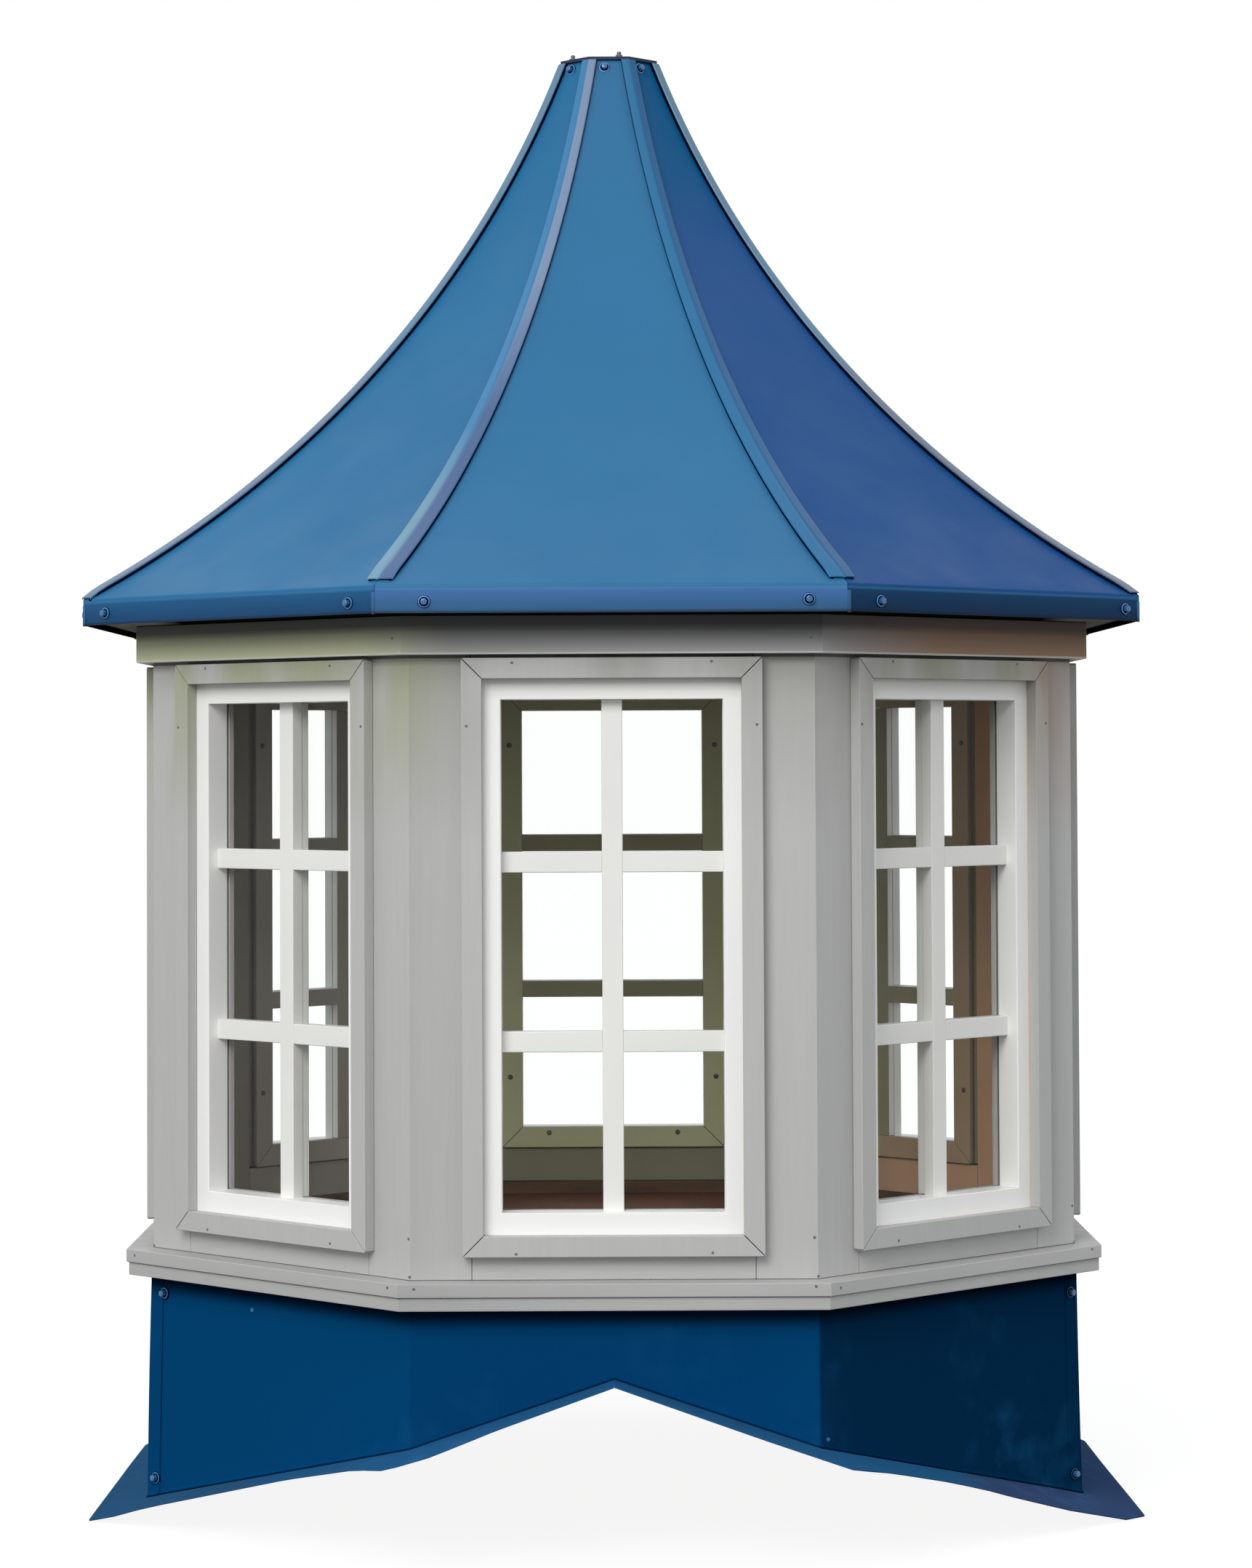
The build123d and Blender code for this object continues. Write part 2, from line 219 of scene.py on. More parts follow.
def coated_metal(name, colour, drift, gloss, shine, mottling=0.0, mottle_colour=None, eave=None,
                 sides=None, shade=None):
    """Baked coat: two close colours by broad noise, a mottle in places, gloss that wanders, and
    orange peel. eave gives the colours of the foot and the head of the folded eave: painted shade
    that darkens the upright eave towards its foot, with a painted shadow along the foot and a
    painted highlight along the fold. sides gives the colour beyond a distance to the left, the
    colour beyond it to the right, that distance and how softly they come in: painted light and
    shade by side. shade is a function that paints more light and shade into the colour."""
    pot = new_pot(name)
    base = pot.mixed(pot.span(pot.noise(3.0), *MIDDLE), colour, drift)
    # Painted shade: the upright eave darkens towards its foot, with a painted shadow along the foot and a
    # painted highlight along the fold.
    if eave:
        z = pot.along("Z")
        fold = pot.mixed(pot.span(z, EAVE_FOOT, EAVE_FOLD), *eave)
        fold = pot.tinted(fold, z, EAVE_FOOT + 4 * MM, EAVE_FOOT + 1 * MM, FOOT_PAINTED_SHADOW, 0.8)
        fold = pot.tinted(fold, z, EAVE_FOLD - 4 * MM, EAVE_FOLD - 1 * MM, FOLD_PAINTED_HIGHLIGHT, 0.6)
        base = pot.tinted(fold, z, EAVE_FOLD - 1 * MM, EAVE_FOLD + 2 * MM, base)
    # Painted light and shade by side: one colour far to the left and another far to the right.
    if sides:
        left, right, start, fade = sides
        x = pot.along("X")
        base = pot.tinted(base, x, -start, -start - fade, left)
        base = pot.tinted(base, x, start, start + fade, right)
    if mottling:
        fine = pot.span(pot.noise(26.0, detail=6.0, shift=4.0), 0.45, 0.7, 0.0, mottling)
        where = pot.span(pot.noise(5.0, shift=5.0), 0.5, 0.65)
        base = pot.mixed(pot.math("MULTIPLY", fine, where), base, mottle_colour)
    # More painted light and shade, from a shade function.
    if shade:
        base = shade(pot, base)
    wander = pot.span(pot.noise(9.0, shift=2.0), *WIDE, *gloss)
    return pot.coat(base, wander, shine, pot.noise(900.0, detail=1.0), 0.02 * MM)


def climbing(*stops):
    """A shade function of painted light: each stop blends in a colour from a lower to an upper height."""
    def shade(pot, base):
        for low, high, colour in stops:
            base = pot.tinted(base, pot.along("Z"), low, high, colour)
        return base

    return shade


SATIN, DULL, CLEAN, HANDLED = (0.42, 0.54), (0.62, 0.74), (0.3, 0.4), (0.36, 0.46)
COATS = {
    # Painted light: one roof coat in three copies, for the front and back, the lit left-hand sides and the
    # shaded right-hand sides; the shaded copy is painted paler half way up and greener close to the head.
    "front_roof": ("#22648F", "#256792", SATIN, 0.25, {"eave": ("#1E5078", "#3A6AA4")}),
    "lit_roof": ("#1A628F", "#1E6794", SATIN, 0.16, {"eave": ("#003A66", "#145684")}),
    "shaded_roof": ("#08447F", "#0A4884", SATIN, 0.08, {
        "eave": ("#022848", "#0C3E68"),
        "shade": climbing((1.3, 1.6, "#1E4E88"), (1.7, 1.82, "#045282"))}),
    # Painted light and shade on the hip caps: the usual cap with colours by side, a copy with a painted
    # highlight high up, a lit copy with a painted highlight low down, and a shaded copy.
    "bright_cap": ("#4C7490", "#547C98", CLEAN, 0.4, {"sides": ("#587490", "#56687E", 0.3, 0.05)}),
    "highlight_cap": ("#3C5A84", "#426088", CLEAN, 0.4, {"shade": climbing((1.45, 1.65, "#7084A2"))}),
    "lit_cap": ("#5E88A0", "#648EA6", HANDLED, 0.25, {"shade": climbing((1.33, 1.43, "#3475A3"))}),
    "shaded_cap": ("#1C5482", "#205A88", HANDLED, 0.2, {}),
    # Dark rubber of the screws, which is its own colour, and the dark strips of painted shade under the hip
    # caps' lips.
    "rubber_and_shade_strip": ("#020A1C", "#030E24", DULL, 0.0, {}),
    "washer": ("#4078AC", "#4A82B4", (0.22, 0.32), 0.5, {}),
    # Painted light and shade by side: the skirt's washers and rivets lighter to the left and darker to the
    # right.
    "side_shaded_washer": ("#2C5C88", "#34648E", SATIN, 0.3, {"sides": ("#3C709C", "#14304E", 0.3, 0.02)}),
    "screw_head": ("#245A90", "#2E6498", (0.18, 0.28), 0.7, {}),
    "bolt_steel": ("#5A6068", "#484E56", CLEAN, 0.5, {}),
    "dark_plate": ("#0A1C30", "#12283F", SATIN, 0.3, {}),
}
coats = {name: coated_metal(f"{name}_coat", *coat, **more) for name, (*coat, more) in COATS.items()}
print("coated metals:", list(coats))

# %% [markdown]
# The walls are trim boards, sealed and painted a warm grey. A roller leaves faint streaks
# along the board. Towards the wall head the colour turns darker in patches, grey-olive and
# brown far to the right, and painted shadow darkens the corner close under the frieze. Faces
# that look inwards take painted interior light and shade. The boards run upright in the walls
# and level in the ledge and the frieze, so the streaks are stretched one way or the other.

# %% Painted boards
UPRIGHT_STREAKS = (1, 1, 0.06)
LEVEL_STREAKS = (0.08, 0.08, 1)
FRIEZE_FOOT = extent("frieze")[0][2]
HEAD_TINT_FROM, HEAD_TINT_TO = WALL_HIGH[2] - 0.28, WALL_HIGH[2] - 0.03
HEAD_TINTS = ((-0.2, -0.26, "#8E945E"), (0.3, 0.36, "#84865E"), (0.52, 0.58, "#947050"))
ROLLED = 0.04 * MM


def painted_board(name, colour, drift, streaks, inner="#98987C", right="#F0C49C"):
    """Rolled paint: fine streaks along the board, darker patches towards the wall head, a painted
    shadow line in the corner under the frieze, and painted interior light and shade on faces
    that look inwards."""
    pot = new_pot(name)
    x, z = pot.along("X"), pot.along("Z")
    base = pot.mixed(pot.span(pot.noise(140.0, streaks), *WIDE), colour, drift)
    # Darker in patches towards the wall head, tinted grey-olive, and brown far to the right.
    toward_head = pot.span(z, HEAD_TINT_FROM, HEAD_TINT_TO, 0.0, 0.7)
    patches = pot.span(pot.noise(9.0, (1, 1, 0.3), shift=3.0), 0.36, 0.56)
    head_tint = "#94948C"
    for near, far, tint in HEAD_TINTS:
        head_tint = pot.tinted(head_tint, x, near, far, tint)
    base = pot.mixed(pot.math("MULTIPLY", toward_head, patches), base, head_tint)
    # Painted shadow: dark from a little under the frieze's foot upwards, which shows as a dark line in the
    # corner under the frieze.
    base = pot.tinted(base, z, FRIEZE_FOOT - 5 * MM, FRIEZE_FOOT - 3.5 * MM, "#0A0A08", 0.93)
    gloss = pot.span(pot.noise(30.0), *WIDE, 0.42, 0.58)
    # Painted interior light and shade on faces that look inwards.
    base = pot.painted_inner_light(base, inner, right)
    return pot.coat(base, gloss, PLAIN_SHINE, pot.noise(260.0, streaks), ROLLED)


upright_trim = painted_board("upright_trim_paint", "#B7B7B6", "#B4B4B3", UPRIGHT_STREAKS)
level_trim = painted_board("level_trim_paint", "#B7B7B6", "#B4B4B3", LEVEL_STREAKS)
# Painted shade: the ledge takes a darker copy of the board paint.
shaded_ledge_trim = painted_board("ledge_shaded_paint", "#AFAFAE", "#ACACAB", LEVEL_STREAKS)
# Painted interior light: the inner frames' inward faces take a bright olive and a warm tint.
inner_trim = painted_board("inner_frame_paint", "#AFAFAE", "#ACACAB", UPRIGHT_STREAKS,
                           "#D8DEB0", "#CCB48C")
BROWN_END = (0.26, 0.42)


def frieze_paint(name):
    """Paint of the frieze: painted shade that darkens it up to the soffit and most close under it,
    a painted highlight along its lower edge, and olive to the left and brown to the right."""
    pot = new_pot(name)
    x, z = pot.along("X"), pot.along("Z")
    # Painted shade: darker up to the soffit, and darkest close under it.
    up = pot.span(z, FRIEZE_FOOT, WALL_HIGH[2] - 4 * MM)
    base = pot.mixed(up, "#A8A8A8", "#444444")
    base = pot.tinted(base, x, -0.2, -0.32, pot.mixed(up, "#C8CCA8", "#7C7E68"))
    base = pot.tinted(base, x, *BROWN_END, pot.mixed(up, "#9A7C62", "#523828"))
    soffit_shade = pot.tinted("#0C0C0A", x, *BROWN_END, "#2A180C")
    base = pot.tinted(base, z, WALL_HIGH[2] - 21 * MM, WALL_HIGH[2] - 12 * MM, soffit_shade, 0.95)
    # Painted highlight along the lower edge.
    base = pot.tinted(base, z, FRIEZE_FOOT + 3 * MM, FRIEZE_FOOT + 1.5 * MM, "#DCDCD4", 0.8)
    return pot.coat(base, 0.6, PLAIN_SHINE, pot.noise(260.0, LEVEL_STREAKS), ROLLED)


frieze_finish = frieze_paint("frieze_paint")

# %% [markdown]
# The sashes are white vinyl, welded at the corners. Vinyl is slightly glossy and almost even,
# with a hint of yellow where it ages. Timber is darker in the late wood, so its colour is
# noise stretched far along the grain. The floor is a board with a dark brown stain.

# %% Vinyl, timber and dark floor


def vinyl(name, colour, drift):
    """White vinyl: nearly even, with a faint warm drift and a satin gloss, greyer towards the head, and
    painted interior light and shade on faces that look inwards.
    """
    pot = new_pot(name)
    base = pot.mixed(pot.span(pot.noise(5.0), *MIDDLE), colour, drift)
    head = WINDOW_HIGH[2]
    base = pot.tinted(base, pot.along("Z"), head - 34 * MM, head - 22 * MM, "#CECEC6", 0.5)
    # Painted interior light and shade on faces that look inwards.
    base = pot.painted_inner_light(base, "#A2A47E", "#B4B48C")
    gloss = pot.span(pot.noise(40.0), *WIDE, 0.3, 0.4)
    return pot.coat(base, gloss, PLAIN_SHINE, pot.noise(500.0, detail=1.0), 0.02 * MM)


def timber(name, early, late, grain, roughness=0.7):
    """Sawn wood: early and late wood by noise stretched along the grain, and fine pores."""
    pot = new_pot(name)
    rings = pot.span(pot.noise(70.0, grain, detail=5.0), *MIDDLE)
    pores = pot.noise(420.0, grain, detail=2.0, shift=1.0)
    return pot.coat(pot.mixed(rings, early, late), roughness, PLAIN_SHINE, pores, 0.3 * MM)


ALONG_X = (0.06, 1, 1)
ALONG_Z = (1, 1, 0.06)
sash_finish = vinyl("white_vinyl", "#F5F5F3", "#F2F2F0")
# Painted shade: the bars, set back behind the sash's face, take a darker copy of the vinyl.
shaded_bar_finish = vinyl("shaded_bar_vinyl", "#EAEAE6", "#E6E6E2")
floor_finish = timber("stained_floor", "#763A0E", "#5E2C08", ALONG_X, 0.6)
sole_finish = timber("sole_plate_wood", "#6E5034", "#523A26", ALONG_X)
frame_finish = timber("framing_wood", "#B08E64", "#94724C", ALONG_X)
rib_finish = timber("plywood_edge", "#A88858", "#8A6A42", ALONG_Z)


def soffit_paint(name):
    """Underside of the eave: bare and pale near the side corners, with painted shade inside and along the
    outer edge, where the folded eave's inner face stands in shade.
    """
    pot = new_pot(name)
    out = pot.math("ABSOLUTE", pot.along("X"))
    # Painted shade: dark inside, and darker still along the outer edge.
    base = pot.tinted("#1A1814", out, 0.56, 0.6, "#9A9A90")
    return pot.coat(pot.tinted(base, out, EAVE - 38 * MM, EAVE - 30 * MM, "#08080A"), 0.7, 0.0)


deck_finish = soffit_paint("soffit_paint")

# %% [markdown]
# Clear glass is a smooth shader that lets light through. A lamp can't find its way through
# a bending surface, so rays that test for shadow or carry scattered light pass straight on.

# %% Glass
LIGHT_BEND = 1.12


def ray_is(pot, *kinds):
    """1 for a ray of one of these kinds, and 0 for any other."""
    total = 0.0
    for kind in kinds:
        total = pot.math("MAXIMUM", total, pot.add("LightPath", out=f"Is {kind} Ray"))
    return total


def clear_glass(name):
    """Clear sheet: a transmitting shader for what is seen, and an open one for what lights it."""
    pot = new_pot(name)
    clear = pot.tree.nodes["Principled BSDF"]
    pot.feed(clear, {"Transmission Weight": 1.0, "IOR": LIGHT_BEND})
    passing = ray_is(pot, "Shadow", "Diffuse")
    both = pot.add("MixShader", {0: passing, 1: clear.outputs[0], 2: pot.add("BsdfTransparent")})
    pot.feed(pot.tree.nodes["Material Output"], {"Surface": both})
    return pot.coat((0.99, 1.0, 0.995, 1), 0.0)


glass_finish = clear_glass("clear_glass")

# %% [markdown]
# Shapes are surfaces worked out with arrays. A surface is a grid of points; a ring joins the
# last column to the first, as round a tube, and its two ends are closed with strips between
# opposite columns. A shape is kept as its points and its faces, and can be turned to the
# other seven sides of the octagon before it becomes a piece.

# %% Helpers for shapes
EDGE_ANGLE = 50


def surface(points, ring=True, ends=True):
    """Points indexed [copy, row, column, xyz], as one shape. Quads join neighbours in the grid."""
    points = np.asarray(points, dtype=float)
    points = points.reshape(-1, *points.shape[-3:])
    copies, rows, columns = points.shape[:3]
    count = np.arange(rows * columns).reshape(rows, columns)
    wrapped = np.hstack([count, count[:, :1]]) if ring else count
    around_each = wrapped[:-1, :-1], wrapped[:-1, 1:], wrapped[1:, 1:], wrapped[1:, :-1]
    quads = [np.stack(around_each, -1).reshape(-1, 4)]
    if ring and ends:
        near = np.arange(columns // 2 - 1)
        lid = np.stack([near, near + 1, columns - 2 - near, columns - 1 - near], -1)
        quads += [lid, lid + (rows - 1) * columns]
    quads = np.concatenate(quads)
    steps = np.arange(copies)[:, None, None] * rows * columns
    return points.reshape(-1, 3), (quads[None] + steps).reshape(-1, 4)


def thin_sheet(outer, inner):
    """A thin sheet: the columns of its outer side and of its inner side as one loop."""
    return surface(np.concatenate([outer, inner[:, ::-1]], axis=1))


def joined(shapes):
    """Several shapes as one: the points in a row, and each shape's faces counted on from the last."""
    shapes = list(shapes)
    starts = np.cumsum([0] + [len(points) for points, faces in shapes[:-1]])
    points = np.concatenate([points for points, faces in shapes])
    return points, np.concatenate([faces + start for (points_, faces), start in zip(shapes, starts)])


def turned(shape, face):
    """A shape of the front turned to another side: a turn about Z by that many eighths."""
    points, faces = shape
    angle = face * EIGHTH
    cos, sin = math.cos(angle), math.sin(angle)
    spin = np.array([[cos, sin, 0], [-sin, cos, 0], [0, 0, 1]])
    return points @ spin, faces


def around(shape, faces=range(SIDES)):
    """A shape of the front copied to the named sides."""
    return joined(turned(shape, face) for face in faces)


def piece(name, shape, finish, stands_for=(), bent=None):
    """Make a shape a piece of the cupola: merge its seams, turn its faces out, and smooth it. Bent
    sheet is smooth up to an angle, and on other pieces the flat faces lead."""
    points, faces = shape
    mesh = bpy.data.meshes.new(name)
    mesh.from_pydata(points.tolist(), [], faces.tolist())
    work = bmesh.new()
    work.from_mesh(mesh)
    bmesh.ops.remove_doubles(work, verts=work.verts, dist=0.01 * MM)
    bmesh.ops.recalc_face_normals(work, faces=work.faces)
    work.to_mesh(mesh)
    work.free()
    mesh.shade_smooth()
    mesh.set_sharp_from_angle(angle=math.radians(bent or EDGE_ANGLE))
    mesh.materials.append(finish)
    made = bpy.data.objects.new(name, mesh)
    bpy.context.scene.collection.objects.link(made)
    if not bent:
        made.modifiers.new("flat_faces_lead", "WEIGHTED_NORMAL").keep_sharp = True
    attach(made, "root")
    if stands_for:
        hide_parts(*stands_for)
    print(name, len(mesh.polygons), "faces")


def dress(node_name, finish):
    """Give a construction piece that stays as it is its finish."""
    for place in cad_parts[node_name].material_slots:
        place.material = finish


# %% [markdown]
# A board has edges that sandpaper has broken: a millimetre of rounding that catches a line of
# light. It can be made as a ball pulled apart. Each eighth of the ball sits on one corner of
# an inner block, and the seams stretch into flat faces and round edges. With the corners
# given one by one, the same surface makes a square board and a mitred one.

# %% Boards with broken edges
EASE = 1.2 * MM
HAIRLINE = 0.2 * MM


def four_corners(steps):
    """Angles once round a rounded rectangle, and whether each is on its right and at its back."""
    quarter = np.linspace(0, math.pi / 2, steps + 1)
    angle = np.concatenate([quarter + turn * math.pi / 2 for turn in range(4)])
    return angle, np.repeat([1, 0, 0, 1], steps + 1), np.repeat([1, 1, 0, 0], steps + 1)


def eased(cores, ease=EASE, steps=2):
    """Point = corner + ease × direction. cores is indexed [board, left/right, front/back, low/high]."""
    longitude, right, back = (values[None, :] for values in four_corners(steps))
    quarter = np.linspace(0, math.pi / 2, steps + 1)
    latitude = np.concatenate([quarter - math.pi / 2, quarter])[:, None]
    high = np.repeat([0, 1], steps + 1)[:, None]
    direction = np.stack([np.cos(latitude) * np.cos(longitude), np.cos(latitude) * np.sin(longitude),
                          np.sin(latitude) + 0 * longitude], -1)
    return surface(cores[:, right, back, high] + ease * direction)


def core(left, right, inner, outer, low, high, ease=EASE):
    """Inner block of a board of the front. left and right are its ends: an x where it is cut
    square, or else what gives x at a depth and a height."""
    block = np.zeros((2, 2, 2, 3))
    for side, edge in enumerate((left, right)):
        for back, depth in enumerate((outer - ease, inner + ease)):
            for top, z in enumerate((low + ease, high - ease)):
                x = edge(depth, z) if callable(edge) else edge
                block[side, back, top] = (x + (-ease if side else ease), -depth, z)
    return block


def corner_mitre(side):
    """End of a board cut to the octagon's corner: x is the depth times the tangent, plus the
    easing, so both boards share one rounding, as where the joint is glued and sanded."""
    return lambda depth, z: side * (depth * TAN + EASE)


def ring_boards(inner, outer, low, high):
    """Eight mitred boards round the octagon."""
    return around(eased(core(corner_mitre(-1), corner_mitre(1), inner, outer, low, high)[None]))


def frame_boards(half, low, high, width, inner, outer, ease=EASE):
    """Four boards of the front mitred at 45 degrees round an opening of that half width."""
    gap = HAIRLINE + ease * (math.sqrt(2) - 1)

    def mitre(sign, edge):
        """x = half the opening + the height beyond its edge, less the gap."""
        return lambda depth, z: sign * (half + abs(z - edge) - gap)

    boards = [core(mitre(-1, low), mitre(1, low), inner, outer, low - width, low, ease),
              core(mitre(-1, high), mitre(1, high), inner, outer, high, high + width, ease)]
    for sign in (-1, 1):
        near, far = sorted((sign * half, sign * (half + width)))
        board = core(near, far, inner, outer, low, high, ease)
        reach = np.abs(board[..., 0]) - half
        board[:, :, 0, 2] = low - reach[:, :, 0] + gap + ease
        board[:, :, 1, 2] = high + reach[:, :, 1] - gap - ease
        boards.append(board)
    return eased(np.array(boards), ease)


# %% [markdown]
# The wall of one side is two corner boards with a window between them, a short board under
# the window and one over it. The corner boards meet their neighbours in a mitre at each
# corner of the octagon, which shows as a fine upright line.

# %% Walls
BAY_EDGE = WINDOW_HIGH[0] + 2 * MM
WALL_INNER = WALL - 36.5 * MM
ends = (BAY_EDGE, corner_mitre(1)), (corner_mitre(-1), -BAY_EDGE)
corner_pair = [core(*pair, WALL_INNER, WALL, WALL_LOW[2], WALL_HIGH[2]) for pair in ends]
piece("corner_boards_eased", around(eased(np.array(corner_pair))), upright_trim,
      ["corner_boards"])
half = BAY_EDGE - 0.4 * MM
for name in ("sill_boards", "header_boards"):
    low, high = extent(name)
    board = core(-half, half, WALL_INNER, WALL, low[2], high[2])
    piece(f"{name}_eased", around(eased(board[None])), level_trim, [name])

# %% [markdown]
# The ledge is two boards, the upper a little further out, and the frieze is one board close
# under the eave. All are mitred rings, so one function makes them.

# %% Ledge and frieze
for name in ("ledge_lower", "ledge_upper", "frieze"):
    low, high = extent(name)
    bearing = WALL - 12 * MM if name != "frieze" else WALL + 0.3 * MM
    finish = frieze_finish if name == "frieze" else shaded_ledge_trim
    piece(f"{name}_eased", ring_boards(bearing, high[0], low[2], high[2]), finish, [name])

# %% [markdown]
# A casing covers the joint between sash and wall: four boards mitred at 45 degrees. The
# screwed frame inside holds the glass against the sash, and shows through the windows
# opposite.

# %% Casings and inner frames
CASING_WIDTH = 26 * MM
casing = frame_boards(CASING_HIGH[0] - CASING_WIDTH, CASING_LOW[2] + CASING_WIDTH,
                      CASING_HIGH[2] - CASING_WIDTH, CASING_WIDTH, -CASING_HIGH[1], -CASING_LOW[1], 1 * MM)
for face, name in enumerate(FACE_NAMES):
    piece(f"casing_{name}_eased", turned(casing, face), upright_trim, [f"casing_{name}"])

STOP_WIDTH = 31 * MM
STOP_LOW, STOP_HIGH = extent("glazing_stops")
INNER_FACE = STOP_HIGH[1] - 8 * MM
PANES_HALF = 138 * MM
inner_frame = frame_boards(PANES_HALF, STOP_LOW[2] + STOP_WIDTH, STOP_HIGH[2] - STOP_WIDTH, STOP_WIDTH,
                           INNER_FACE, STOP_HIGH[1], 0.8 * MM)
piece("inner_frames_eased", around(inner_frame), inner_trim, ["glazing_stops"])

# %% [markdown]
# The sash is one welded frame, so it has no joints. Its section is a rounded rectangle, and
# the surface is that section carried round the four corners of the opening. The bars lie
# well behind its face: one upright, and level bars that butt against it. The same bars show
# again on the inside of the glass.

# %% Sashes
PANES_FOOT = WINDOW_LOW[2] + 31 * MM
PANES_HEAD = WINDOW_HIGH[2] - 34 * MM
BAR = 26 * MM
BAR_SETBACK = 16 * MM
LEVEL_BARS = (PANES_FOOT + 210 * MM, PANES_FOOT + 433 * MM)
SASH_EASE = 1.6 * MM


def sash_frame():
    """Point = inner corner of the opening, moved outwards by the section's share of each side's width."""
    angle, across, back = four_corners(3)
    nudge = np.cos(angle) * SASH_EASE
    flat = WINDOW_HIGH[1] - WINDOW_LOW[1] - 2 * SASH_EASE
    y = WINDOW_LOW[1] + (back * flat + SASH_EASE + np.sin(angle) * SASH_EASE)
    rows = []
    for x_side, z_side in ((-1, -1), (1, -1), (1, 1), (-1, 1)):
        inner_z, outer_z = (PANES_FOOT, WINDOW_LOW[2]) if z_side < 0 else (PANES_HEAD, WINDOW_HIGH[2])
        near_x, far_x = PANES_HALF + SASH_EASE, WINDOW_HIGH[0] - SASH_EASE
        near_z, far_z = inner_z + z_side * SASH_EASE, outer_z - z_side * SASH_EASE
        x = x_side * (near_x + across * (far_x - near_x) + nudge)
        z = near_z + across * (far_z - near_z) + z_side * nudge
        rows.append(np.stack([x, y, z], -1))
    rows.append(rows[0])
    return surface(np.array(rows), ends=False)


def glazing_bars(inner, outer, half, bury, ease=EASE):
    """One upright bar, and two level bars in halves that butt against it. Their ends are buried
    so far in what is round them."""
    blocks = [core(-half, half, inner, outer, PANES_FOOT - bury, PANES_HEAD + bury)]
    for level in LEVEL_BARS:
        for side in (-1, 1):
            near, far = sorted((side * (half - HAIRLINE), side * (PANES_HALF + bury)))
            blocks.append(core(near, far, inner, outer - 0.4 * MM, level - half, level + half))
    return eased(np.array(blocks), ease)


sash_bars = glazing_bars(-WINDOW_HIGH[1], -WINDOW_LOW[1] - BAR_SETBACK, BAR / 2, 3 * MM)
inner_bars = glazing_bars(INNER_FACE, -WINDOW_HIGH[1] + 2 * MM, BAR / 2 - 0.3 * MM, 0, 0.8 * MM)
for face, name in enumerate(FACE_NAMES):
    piece(f"sash_{name}", turned(sash_frame(), face), sash_finish, [f"window_{name}"])
piece("sash_bars", around(sash_bars), shaded_bar_finish)
piece("inner_bars", around(inner_bars), shaded_bar_finish)

# %% [markdown]
# A roof panel is a sheet bent to a hollow arc, with a fold at the eave. In section it is
# three curves that meet without a corner: the large arc through both ends, hollow by the sag,
# a small bend that touches it from outside, and the upright face of the eave. Every panel,
# and every cap on a hip, is worked out from this one section, moved out by a lift.

# %% Roof line
ROOF_TOP = 63 * MM
ROOF_RISE = 752.2 * MM
ROOF_SAG = 83.8 * MM
EAVE_BEND = 4.5 * MM
run, eave_z = EAVE - ROOF_TOP, ROOF_HEAD - ROOF_RISE
chord = math.hypot(run, ROOF_RISE)
ARC = chord ** 2 / (8 * ROOF_SAG) + ROOF_SAG / 2
reach = (ARC - ROOF_SAG) / chord
ARC_X = (EAVE + ROOF_TOP) / 2 + ROOF_RISE * reach
ARC_Z = eave_z + ROOF_RISE / 2 + run * reach
BEND_X = EAVE - EAVE_BEND
BEND_Z = ARC_Z - math.sqrt((ARC + EAVE_BEND) ** 2 - (ARC_X - BEND_X) ** 2)
print("arc of radius", ARC, "about", ARC_X, ARC_Z, "and bend about", BEND_X, BEND_Z)


def roof_height(distance, lift):
    """Height of the section at a distance from the axis, on the arc or on the bend."""
    touch = BEND_X + (ARC_X - BEND_X) * EAVE_BEND / (ARC + EAVE_BEND)
    arc = ARC_Z - np.sqrt((ARC - lift) ** 2 - (ARC_X - distance) ** 2)
    bend = EAVE_BEND + lift
    past = np.clip(distance - BEND_X, -bend, bend)
    return np.where(distance < touch, arc, BEND_Z + np.sqrt(bend ** 2 - past ** 2))


def roof_line(lift, arc_steps=44, bend_steps=8, face_steps=4):
    """The whole section from its head to the foot of the eave, as distances and heights."""
    inner, bend = ARC - lift, EAVE_BEND + lift
    head = ARC_X - math.sqrt(inner ** 2 - (ARC_Z - ROOF_HEAD) ** 2)
    start = math.atan2(ROOF_HEAD - ARC_Z, head - ARC_X) % (2 * math.pi)
    stop = math.atan2(BEND_Z - ARC_Z, BEND_X - ARC_X) % (2 * math.pi)
    arc = np.linspace(start, stop, arc_steps)
    fold = np.linspace(stop - math.pi, 0, bend_steps + 2)[1:-1]
    distance = np.concatenate([ARC_X + inner * np.cos(arc), BEND_X + bend * np.cos(fold),
                               np.full(face_steps, BEND_X + bend)])
    height = np.concatenate([ARC_Z + inner * np.sin(arc), BEND_Z + bend * np.sin(fold),
                             np.linspace(BEND_Z, EAVE_FOOT, face_steps)])
    return distance, height


distance, height = roof_line(0)
print("roof line from", distance[0], height[0], "to", distance[-1], height[-1])

# %% [markdown]
# Sheet metal never lies quite flat. Between its fastened edges it bulges by a fraction of a
# millimetre, which bends the reflections. Each panel gets its own low waves, as products of
# sines that vanish at the hips, at the head and at the eave.

# %% Roof panels
PANEL_SHEET = 1.2 * MM
PANEL_GAP = 0.4 * MM
PANEL_COLUMNS = 21
PAST_BULGE = 1.18
BULGE = 0.5 * MM
random = np.random.default_rng(7)


def panel_bulge(across, along):
    """Bulge out of the sheet: a few sine waves, fading to nothing where a share is 1 or more."""
    fade = (1 - across ** 2) * np.sin(np.pi * np.clip(along, 0, 1))
    waves = 0
    for _ in range(3):
        wide, long, phase = random.uniform(1.0, 2.5), random.uniform(1.5, 4.5), random.uniform(0, 6.3)
        waves = waves + np.sin(wide * across + phase) * np.sin(long * math.pi * along + phase)
    return BULGE * fade * waves


